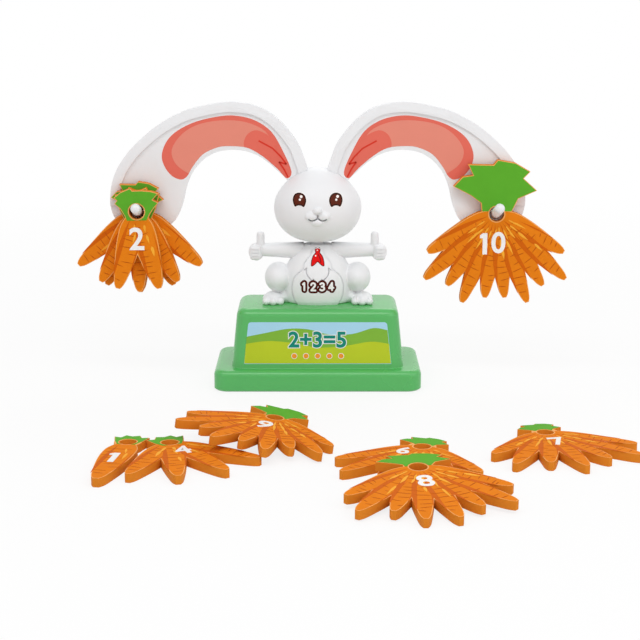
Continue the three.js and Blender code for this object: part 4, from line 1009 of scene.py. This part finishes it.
def buildBow():
    v = bowValues
    outline = smoothRow(scaled(bowOutline, v["width"], v["height"]), 3, True)
    fold = band(scaled(bowFold, v["width"], v["height"]), v["foldWidth"])
    shapes = [(drawnIn(outline, -v["edge"]), bowDark), (outline, bowRed), (fold, bowDark)]
    shapes += [(circleRow(*glint), eyeCream) for glint in v["glints"]]
    middle = (0, v["startY"], bodyValues["base"] + v["rise"])
    skins = wrapShapes("bowSkin", shapes, "bodyFront", middle, v["step"], v["levels"])
    complete(joinAll(skins, "bow"), "base", None, ["bow_sticker"], 30)


# Numbers on the belly, white with a maroon edge. Strokes are [across, up] in shares of their height
numberStrokes = {
    1: (((-0.17, 0.3), (0.02, 0.5)), ((0.02, 0.5), (0.02, -0.5))),
    2: (((-0.27, 0.25), (-0.19, 0.43), (0.01, 0.5), (0.21, 0.42), (0.26, 0.22), (0.14, 0), (-0.26, -0.5)),
        ((-0.26, -0.5), (0.3, -0.5))),
    3: (((-0.25, 0.38), (-0.08, 0.5), (0.14, 0.47), (0.24, 0.28), (0.15, 0.1), (-0.06, 0.04)),
        ((-0.06, 0.04), (0.18, -0.03), (0.28, -0.25), (0.16, -0.45), (-0.08, -0.5), (-0.27, -0.38))),
    4: (((0.12, 0.5), (-0.3, -0.2)), ((-0.3, -0.2), (0.3, -0.2)), ((0.12, 0.5), (0.12, -0.5))),
}
numberValues = dict(height=5, rise=13.2, spacing=6.2, stroke=1.3, edge=1.45, skin=0.08, depth=0.5)


# The pieces of one number as it is seen from the front: its strokes, each with two round ends
def numberPieces(number, middleX, stroke):
    v, b = numberValues, bodyValues
    frontY, backY = b["middleY"] - b["depth"], b["middleY"] - b["printDepth"]
    pieces = []
    for points in numberStrokes[number]:
        row = scaled(points, v["height"], v["height"], middleX, b["base"] + v["rise"])
        pieces.append(strip("numberStroke", row, stroke, frontY, backY))
        for x, z in (row[0], row[-1]):
            pieces.append(bar("numberEnd", (x, backY, z), (x, frontY, z), stroke / 2, 16))
    return pieces


def buildNumbers():
    v, raiseBy = numberValues, bodyValues["patchRaise"]
    skins = []
    for level, (stroke, material) in enumerate(((v["stroke"] + 2 * v["edge"], printMaroon),
                                                (v["stroke"], digitWhite)), 1):
        pieces = []
        for number in numberStrokes:
            middleX = (number - (len(numberStrokes) + 1) / 2) * v["spacing"]
            pieces += numberPieces(number, middleX, stroke)
        skin = unite(pieces)
        carve(skin, torsoForm("numberFront", raiseBy + v["skin"] * level), "INTERSECT")
        carve(skin, torsoForm("numberBack", raiseBy - v["depth"]))
        skins.append(paint(skin, material))
    complete(joinAll(skins, "bellyNumbers"), "base", None, (), 30)


# A word in relief that lies flat, with its middle at the place. Bold widens its strokes
def raisedWord(name, text, height, bold, place, rise):
    leaveEditMode()
    bpy.ops.object.text_add()
    item = nameIt(name)
    item.data.body = text
    item.data.align_x = item.data.align_y = "CENTER"
    item.data.size = height * 1.36 * mm  # a numeral is as tall as 1 / 1.36 of the size
    item.data.offset = bold * mm
    item.data.resolution_u = 5
    item.location = Vector(place) * mm
    pick(item)
    bpy.ops.object.convert(target="MESH")
    word = applyPlace(nameIt(name))
    editOn(word)
    bpy.ops.mesh.remove_doubles(threshold=0.01 * mm)
    return pullOut(word, (0, 0, rise))


# Label on the front of the block: sky, hills, a sum and dots, in thin layers. It is made lying flat
# and then set up against the sloped front
labelValues = dict(topWidth=95, footWidth=101, height=29, corner=2.2, lowZ=17.7, sunk=0.05, gap=0.02,
                   step=0.06, text="2+3=5", textHeight=11, textZ=16.4, textEdge=0.95, textBold=0.45,
                   dots=5, dotRadius=1.7, dotEdge=0.35, dotSpacing=8, dotZ=5.6)
hillFar = ((-50.2, 2), (-48.4, 19), (-36, 21.5), (-20, 24.5), (-6, 24), (8, 20.5), (24, 21), (38, 25),
           (47.6, 23.5), (50, 2))
hillNear = ((-50.3, 0.4), (-49, 14), (-34, 16), (-16, 14.5), (0, 11.5), (18, 12.5), (36, 15.5),
            (48.8, 14), (50.2, 0.4))


def buildLabel():
    v, b = labelValues, baseValues
    half, low = v["footWidth"] / 2, -v["sunk"]
    right = shifted(arcRow(v["corner"], 5), v["topWidth"] / 2 - v["corner"], v["height"] - v["corner"])
    plate = [(-half, 0), (half, 0), *right, *[(-x, z) for x, z in reversed(right)]]
    shapes = [(plate, labelSky)]
    for hill, material in ((hillFar, labelHill), (hillNear, labelGrass)):
        shapes.append(([hill[0], *smoothRow(hill[1:-1], 5), hill[-1]], material))
    skins = [paint(lying("labelSkin", points, low, v["step"] * level), material)
             for level, (points, material) in enumerate(shapes, 1)]
    for level, edge, bold, material in ((4, v["dotEdge"], v["textEdge"], digitWhite),
                                        (5, 0, v["textBold"], labelTeal)):
        high = v["step"] * level
        word = raisedWord("labelWord", v["text"], v["textHeight"], bold, (0, v["textZ"], low), high - low)
        skins.append(paint(word, material))
        for at in range(v["dots"]):
            x = (at - (v["dots"] - 1) / 2) * v["dotSpacing"]
            dot = bar("labelDot", (x, v["dotZ"], low), (x, v["dotZ"], high), v["dotRadius"] + edge, 28)
            skins.append(paint(dot, digitWhite if edge else labelOrange))
    label = joinAll(skins, "baseLabel")
    run = (b["blockFoot"][1] - b["blockTop"][1]) / 2
    slope = math.atan2(run, b["blockHeight"])
    label.rotation_euler = (math.pi / 2 - slope, 0, 0)
    front = b["blockFoot"][1] / 2 - (v["lowZ"] - b["plateHeight"]) * math.tan(slope) + v["gap"]
    label.location = Vector((0, -front, v["lowZ"])) * mm
    complete(label, "base", None, ["base_label"], 30)


# Weights: bunches of carrots. Sides of a carrot and of its pocket are [half width, along], and leaves
# [across, up], in shares
carrotSide = ((0.6, 0.06), (0.95, 0.2), (0.98, 0.4), (0.8, 0.63), (0.55, 0.84), (0.38, 0.945),
              (0.17, 1))
pocketSide = ((0.6, 0.06), (0.95, 0.2), (0.97, 0.4), (0.31, 0.95))
tuft = ((0, 1), (0.212, 0.943), (0.39, 0.783), (0.313, 0.66), (0.476, 0.434), (0.254, 0.283),
        (0.18, 0.04), (-0.18, 0.04), (-0.19, 0.2), (-0.313, 0.34), (-0.524, 0.509), (-0.415, 0.689),
        (-0.293, 0.717), (-0.354, 0.917), (-0.049, 0.906))
crown = ((-0.26, -0.42), (-0.4, 0.1), (-0.5, 0.72), (-0.3, 0.64), (-0.2, 1), (0, 0.86), (0.2, 1),
         (0.3, 0.66), (0.5, 0.76), (0.4, 0.12), (0.26, -0.42))
fanLeaf = ((-0.224, -0.41), (-0.266, -0.18), (-0.357, 0.12), (-0.484, 0.333), (-0.429, 0.472),
           (-0.494, 0.597), (-0.344, 0.824), (-0.133, 1), (-0.085, 0.887), (0.12, 0.9), (0.318, 0.868),
           (0.484, 0.78), (0.357, 0.503), (0.484, 0.384), (0.383, 0.151), (0.286, -0.119),
           (0.224, -0.396))
weightValues = dict(thickness=5.5, faceDrop=0.08, hole=5.2, crownRadius=8.4, holeWall=1.4, wall=1,
                    length=66.5, width=20, leafWidth=57, leafHeight=37, edge=0.35, margin=0.45,
                    ring=0.75, skin=0.035, skinSunk=0.2, hair=0.0006, gap=0.3)
weightTop = weightValues["thickness"] - weightValues["faceDrop"]
# What most bunches share, and what each has of its own. Lengths run from the ends to the middle, the
# digit is [across, up, height], and pocket is how deep the back is hollow
usualBunch = dict(width=0.75, outline=tuft, digit=(0, -20, 14.5))
ownBunch = {
    1: dict(spread=0, width=1, lengths=(1.03,), leaf=(0.38, 0.35), outline=crown, pocket=4.426,
            digit=(0, -31, 17)),
    2: dict(spread=15, width=0.85, lengths=(0.825,), leaf=(0.54, 0.43), outline=fanLeaf, pocket=2.728,
            digit=(-0.3, -19.5, 15.7)),
    3: dict(spread=29, width=0.8, lengths=(0.82, 0.82), leaf=(0.53, 0.46), outline=crown, pocket=1.871,
            digit=(0, -19.5, 15)),
    4: dict(spread=40, width=0.8, lengths=(0.93, 0.95), leaf=(0.41, 0.36), outline=crown, pocket=1.843,
            digit=(2.5, -18, 14)),
    5: dict(spread=50, width=0.8, lengths=(0.83, 0.82, 0.82), leaf=(0.63, 0.6), pocket=1.4),
    6: dict(spread=50, lengths=(0.84, 1, 0.9), leaf=(0.53, 0.49), pocket=0.854, digit=(-8.5, -12, 12)),
    7: dict(spread=54, lengths=(0.84, 1, 0.89, 1), leaf=(0.49, 0.49), pocket=0.437),
    8: dict(spread=56, lengths=(0.83, 1, 0.89, 1), leaf=(0.75, 0.51), pocket=0.342),
    9: dict(spread=58, lengths=(0.83, 1, 0.89, 1, 0.9), leaf=(0.69, 0.66), pocket=0),
    10: dict(spread=60.5, lengths=(0.81, 1, 0.9, 0.99, 0.885), leaf=(1, 1), pocket=0.704,
             digit=(-2.2, -20.6, 14.8)),
}
bunches = {number: {**usualBunch, **own} for number, own in ownBunch.items()}
hungPlaces = {5: (-1, 0), 3: (-1, 1), 2: (-1, 2), 10: (1, 0)}  # (side, place on the peg)
# [across, up, turn] of the loose ones, in lengths of a carrot and degrees
looseSpots = {1: (-1.7, -2.556, -8), 4: (-1.323, -2.571, 23), 9: (-0.406, -2.03, -18),
              6: (0.932, -2.692, -17), 8: (0.842, -3.549, 8), 7: (2.09, -2.256, 13)}


def carrotLine(length, width, shrink, table):
    side = smoothRow(scaled(table, width / 2, -length), 4)
    row = [(max(x - shrink, 0.4), max(y, shrink - length)) for x, y in side]
    return row + [(-x, y) for x, y in reversed(row)]


def turnedPoints(points, degrees):
    angle = math.radians(degrees)
    return [(x * math.cos(angle) - y * math.sin(angle), x * math.sin(angle) + y * math.cos(angle))
            for x, y in points]


# The (angle, length) of each carrot of a bunch
def fanPlan(number):
    bunch = bunches[number]
    plan = []
    for at in range(number):
        fromEnd = min(at, number - 1 - at)
        angle = 0 if number == 1 else -bunch["spread"] + at * bunch["spread"] * 2 / (number - 1)
        plan.append((angle, weightValues["length"] * bunch["lengths"][fromEnd]))
    return plan


def fanForm(name, number, shrink, low, high, table=carrotSide):
    width = weightValues["width"] * bunches[number]["width"]
    return unite([lying(name, turnedPoints(carrotLine(length, width, shrink, table), angle), low, high)
                  for angle, length in fanPlan(number)])


def leafLine(number, inset=0):
    v, bunch = weightValues, bunches[number]
    across, up = bunch["leaf"]
    line = scaled(bunch["outline"], v["leafWidth"] * across, v["leafHeight"] * up)
    return drawnIn(line, inset) if inset else line


def upright(name, radius, low, high):
    return bar(name, (0, 0, low), (0, 0, high), radius, 64)


def weightBody(number):
    v, pocketTop = weightValues, bunches[number]["pocket"]
    body = unite([fanForm("weightFan", number, 0, 0, weightTop),
                  upright("weightCrown", v["crownRadius"], 0, weightTop),
                  lying("weightLeaf", leafLine(number), 0, weightTop)])
    carve(body, upright("weightHole", v["hole"], -1, weightTop + 1))
    if pocketTop > 0:
        pocket = fanForm("weightPocket", number, v["wall"], -1, pocketTop, pocketSide)
        if bunches[number]["outline"] is not tuft:
            carve(pocket, lying("leafPocket", leafLine(number, v["wall"]), -1, pocketTop), "UNION")
        carve(pocket, upright("weightCollar", v["hole"] + v["holeWall"], -2, v["thickness"]))
        carve(body, pocket)
    # The top and its rounded edge take the paler orange, a painted highlight along the edge
    paint(body, orangeSide, orangeEdgeHighlight)
    bevelFaces(body, lambda face: face.normal.z > 0.99 and face.center.z > (weightTop - 0.01) * mm,
               v["edge"], 2, 1)
    return body


# A lens-shaped mark, 1 mm long and 1 mm wide, which is copied for every crease, glow and shade. Bend
# is how far its middle swings out, and peak where along it is widest
def unitMark(name, material, bend, peak=0.5, steps=8):
    middle, upper, lower = 0, [], []
    for step in range(steps + 1):
        share = step / steps
        middle = bend * (share - share * share) * 4
        half = 0.5 * math.sin(math.pi * share ** (math.log(0.5) / math.log(peak)))
        upper.append((share, middle + half))
        lower.append((share, middle - half))
    return paint(lying(name, upper + lower[-2:0:-1], -0.1, 0), material)


# Each mark lies a hair higher than the one before, so that no two lie in one plane
def placeMark(unit, start, end, width, level, order):
    along = Vector(end) - Vector(start)
    mark = copyOf(unit, "mark")
    place = Vector((*start, level + weightValues["hair"] * order))
    mark.matrix_world = (Matrix.Translation(place * mm)
                         @ Matrix.Rotation(math.atan2(along.y, along.x), 4, "Z")
                         @ Matrix.Diagonal((along.length, width, 1, 1)))
    return mark


# The marks on one carrot, at shares of its length. The dice make every crease and glow a little
# different, within the ranges given here
markValues = dict(
    shadeAt=(0.2, 0.45, 0.75), shadeWidth=3, shadeRightWidth=1, shadeMost=4.5,
    creases=(0.21, 0.29, 0.38, 0.47, 0.55, 0.63, 0.71, 0.79, 0.86), creaseShift=0.02,
    creaseReach=(0.8, 1.9), creaseDrop=(0.006, 0.02), creaseWidth=0.5, leastRoom=1,
    glows=((0.15, 0.2), (0.24, 0.32), (0.4, 0.5)), thirdGlow=0.45, glowNear=(0.1, 0.7),
    glowFar=(0.35, 0.85), glowLength=(0.1, 0.2), glowWidth=(1.3, 2.3),
    levels=dict(face=1, shade=2, shadeRight=2, crease=3, glow=4, leaf=5, digit=6))


def carrotMarks(width, length, apart, dice, addMark):
    v = markValues
    gap = length * math.tan(math.radians(apart) / 2)  # half the room between the neighbours at the tip

    def halfAt(share, spare):
        return min(readTable(carrotSide, share) * width / 2, share * gap + spare)

    # shade along the left edge, and a narrow one along the right
    upper, middle, lower = (halfAt(share, 0.6) for share in v["shadeAt"])
    addMark("shade", (-min(upper, v["shadeMost"]) * 0.85, 0.115 * length),
            (-lower * 0.84, 0.88 * length), v["shadeWidth"])
    addMark("shadeRight", (middle * 0.95, 0.3 * length),
            (lower * 0.95, 0.8 * length), v["shadeRightWidth"])
    for share in v["creases"]:
        share += dice.uniform(-v["creaseShift"], v["creaseShift"])
        room = halfAt(share, 0.4) - 0.5
        if room < v["leastRoom"]:
            continue
        side = 1 if dice.random() < 0.5 else -1
        reach = room * dice.uniform(*v["creaseReach"])
        end = (side * (room - reach), (share + dice.uniform(*v["creaseDrop"])) * length)
        addMark("crease", (side * room, share * length), end, v["creaseWidth"])
    glows = [dice.uniform(*reach) for reach in v["glows"]]
    for glow in glows[:3 if dice.random() < v["thirdGlow"] else 2]:
        side = min(readTable(carrotSide, glow + 0.08) * width / 2, (glow + 0.08) * gap)
        near, far = dice.uniform(*v["glowNear"]), dice.uniform(*v["glowFar"])
        end = (side * far, (glow + dice.uniform(*v["glowLength"])) * length)
        addMark("glow", (side * near, glow * length), end, min(dice.uniform(*v["glowWidth"]), side * 0.6))


# The printed numbers. Their one is a flag and a stem, in shares of its height, and in 10 the stem and
# the rest stand to both sides of the middle by these shares
digitValues = dict(bold=0.42, sunk=0.1, stemLeft=0.36, restRight=0.26)
oneOutline = ((-0.24, 0.26), (-0.24, 0.4), (-0.1, 0.5), (0.1, 0.5), (0.1, -0.5), (-0.11, -0.5),
              (-0.11, 0.26))


def digitSkins(number, high):
    v, (x, y, height) = digitValues, bunches[number]["digit"]
    word, low = str(number), weightTop - v["sunk"]
    skins = []
    if word[0] == "1":
        stem = x - (height * v["stemLeft"] if len(word) > 1 else 0)
        skins.append(lying("weightStroke", scaled(oneOutline, height, height, stem, y), low, high))
        word, x = word[1:], x + height * v["restRight"]
    if word:
        skins.append(raisedWord("weightDigit", word, height, v["bold"], (x, y, low), high - low))
    return [paint(skin, digitWhite) for skin in skins]


# The printed face: carrots with shaded edges, creases and glows, the leaf and the digit
def weightSkins(number, marks, dice):
    v, bunch = weightValues, bunches[number]
    level = {name: weightTop + v["skin"] * place for name, place in markValues["levels"].items()}
    low = weightTop - v["skinSunk"]
    face = fanForm("weightFace", number, v["margin"], low, level["face"])
    leaf = lying("weightLeafSkin", leafLine(number, v["margin"]), low, level["leaf"])
    ringHole = upright("ringHole", v["hole"] + v["ring"], -1, v["thickness"] + 1)
    skins = [paint(carve(skin, ringHole, keepTool=True), material)
             for skin, material in ((face, carrotFace), (leaf, leafGreen))]
    bpy.data.objects.remove(ringHole)

    plan = fanPlan(number)
    apart = plan[1][0] - plan[0][0] if number > 1 else 60
    for angle, length in plan:
        def addMark(kind, start, end, width):
            start, end = turnedPoints([(x, -along) for x, along in (start, end)], angle)
            skins.append(placeMark(marks[kind], start, end, width, level[kind], len(skins)))
        carrotMarks(v["width"] * bunch["width"], length, apart, dice, addMark)
    return skins + digitSkins(number, level["digit"])


# Where a bunch is: hung ones by the slanted peg, loose ones by their spot and the tilt of the packed
# solid
def weightPlace(number):
    v, p = weightValues, pegValues
    if number in hungPlaces:
        side, order = hungPlaces[number]
        backY = earValues["frontY"] - v["gap"] - order * (v["thickness"] + v["gap"])
        up = p["radius"] / math.cos(math.radians(p["slant"]))
        z = pegPoint(side, backY - v["thickness"], up).z + v["gap"] - v["hole"]
        place = Matrix.Translation(Vector((side * p["x"], backY, z)) * mm)
        return place @ Matrix.Rotation(math.pi / 2, 4, "X")
    acrossShare, upShare, turn = looseSpots[number]
    x, y = acrossShare * v["length"] * mm, upShare * v["length"] * mm
    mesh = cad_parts[f"weight_{number}"].data
    upward = [face for face in mesh.polygons if face.normal.z > 0.9]
    normal = sum((face.normal * face.area for face in upward), Vector()).normalized()
    height = max(normal.dot(vertex.co) for vertex in mesh.vertices)
    z = (height - v["thickness"] * mm - normal.x * x - normal.y * y) / normal.z
    lean = Vector((0, 0, 1)).rotation_difference(normal).to_matrix().to_4x4()
    return Matrix.Translation((x, y, z)) @ lean @ Matrix.Rotation(math.radians(turn), 4, "Z")


def buildWeights():
    dice = random.Random(11)
    marks = {"shade": unitMark("markShade", carrotShade, -0.35),
             "shadeRight": unitMark("markShadeRight", carrotShade, 0.5),
             "crease": unitMark("markCrease", carrotCrease, 0.06),
             "glow": unitMark("markGlow", carrotGlow, 0, 0.35)}
    for number in bunches:
        parts = [weightBody(number), *weightSkins(number, marks, dice)]
        for part in parts:
            applyPlace(part)
        weight = joinAll(parts, f"weight{number}")
        weight.matrix_world = weightPlace(number)
        complete(weight, f"weight_{number}", None, [f"weight_{number}"], 30)
    for mark in marks.values():
        bpy.data.objects.remove(mark)


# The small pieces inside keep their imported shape
def dressPacked():
    paint(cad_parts["neck_post"], postPlastic)
    for node in ("post_screw", "pivot_pin", "foot_screw_left", "foot_screw_right"):
        paint(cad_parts[node], screwSteel)


buildHead()
print("head built")
buildBody()
print("body built")
for word, side in sides:
    buildArm(word, side)
print("arms built")
for word, side in sides:
    buildEar(word, side)
    buildEarSticker(word, side)
    buildPeg(word, side)
print("ears and pegs built")
buildEyes()
buildBow()
buildNumbers()
print("eyes, bow and numbers built")
buildLabel()
buildCover()
buildScrews()
dressPacked()
print("label, cover and screws built")
buildWeights()
print("weights built")
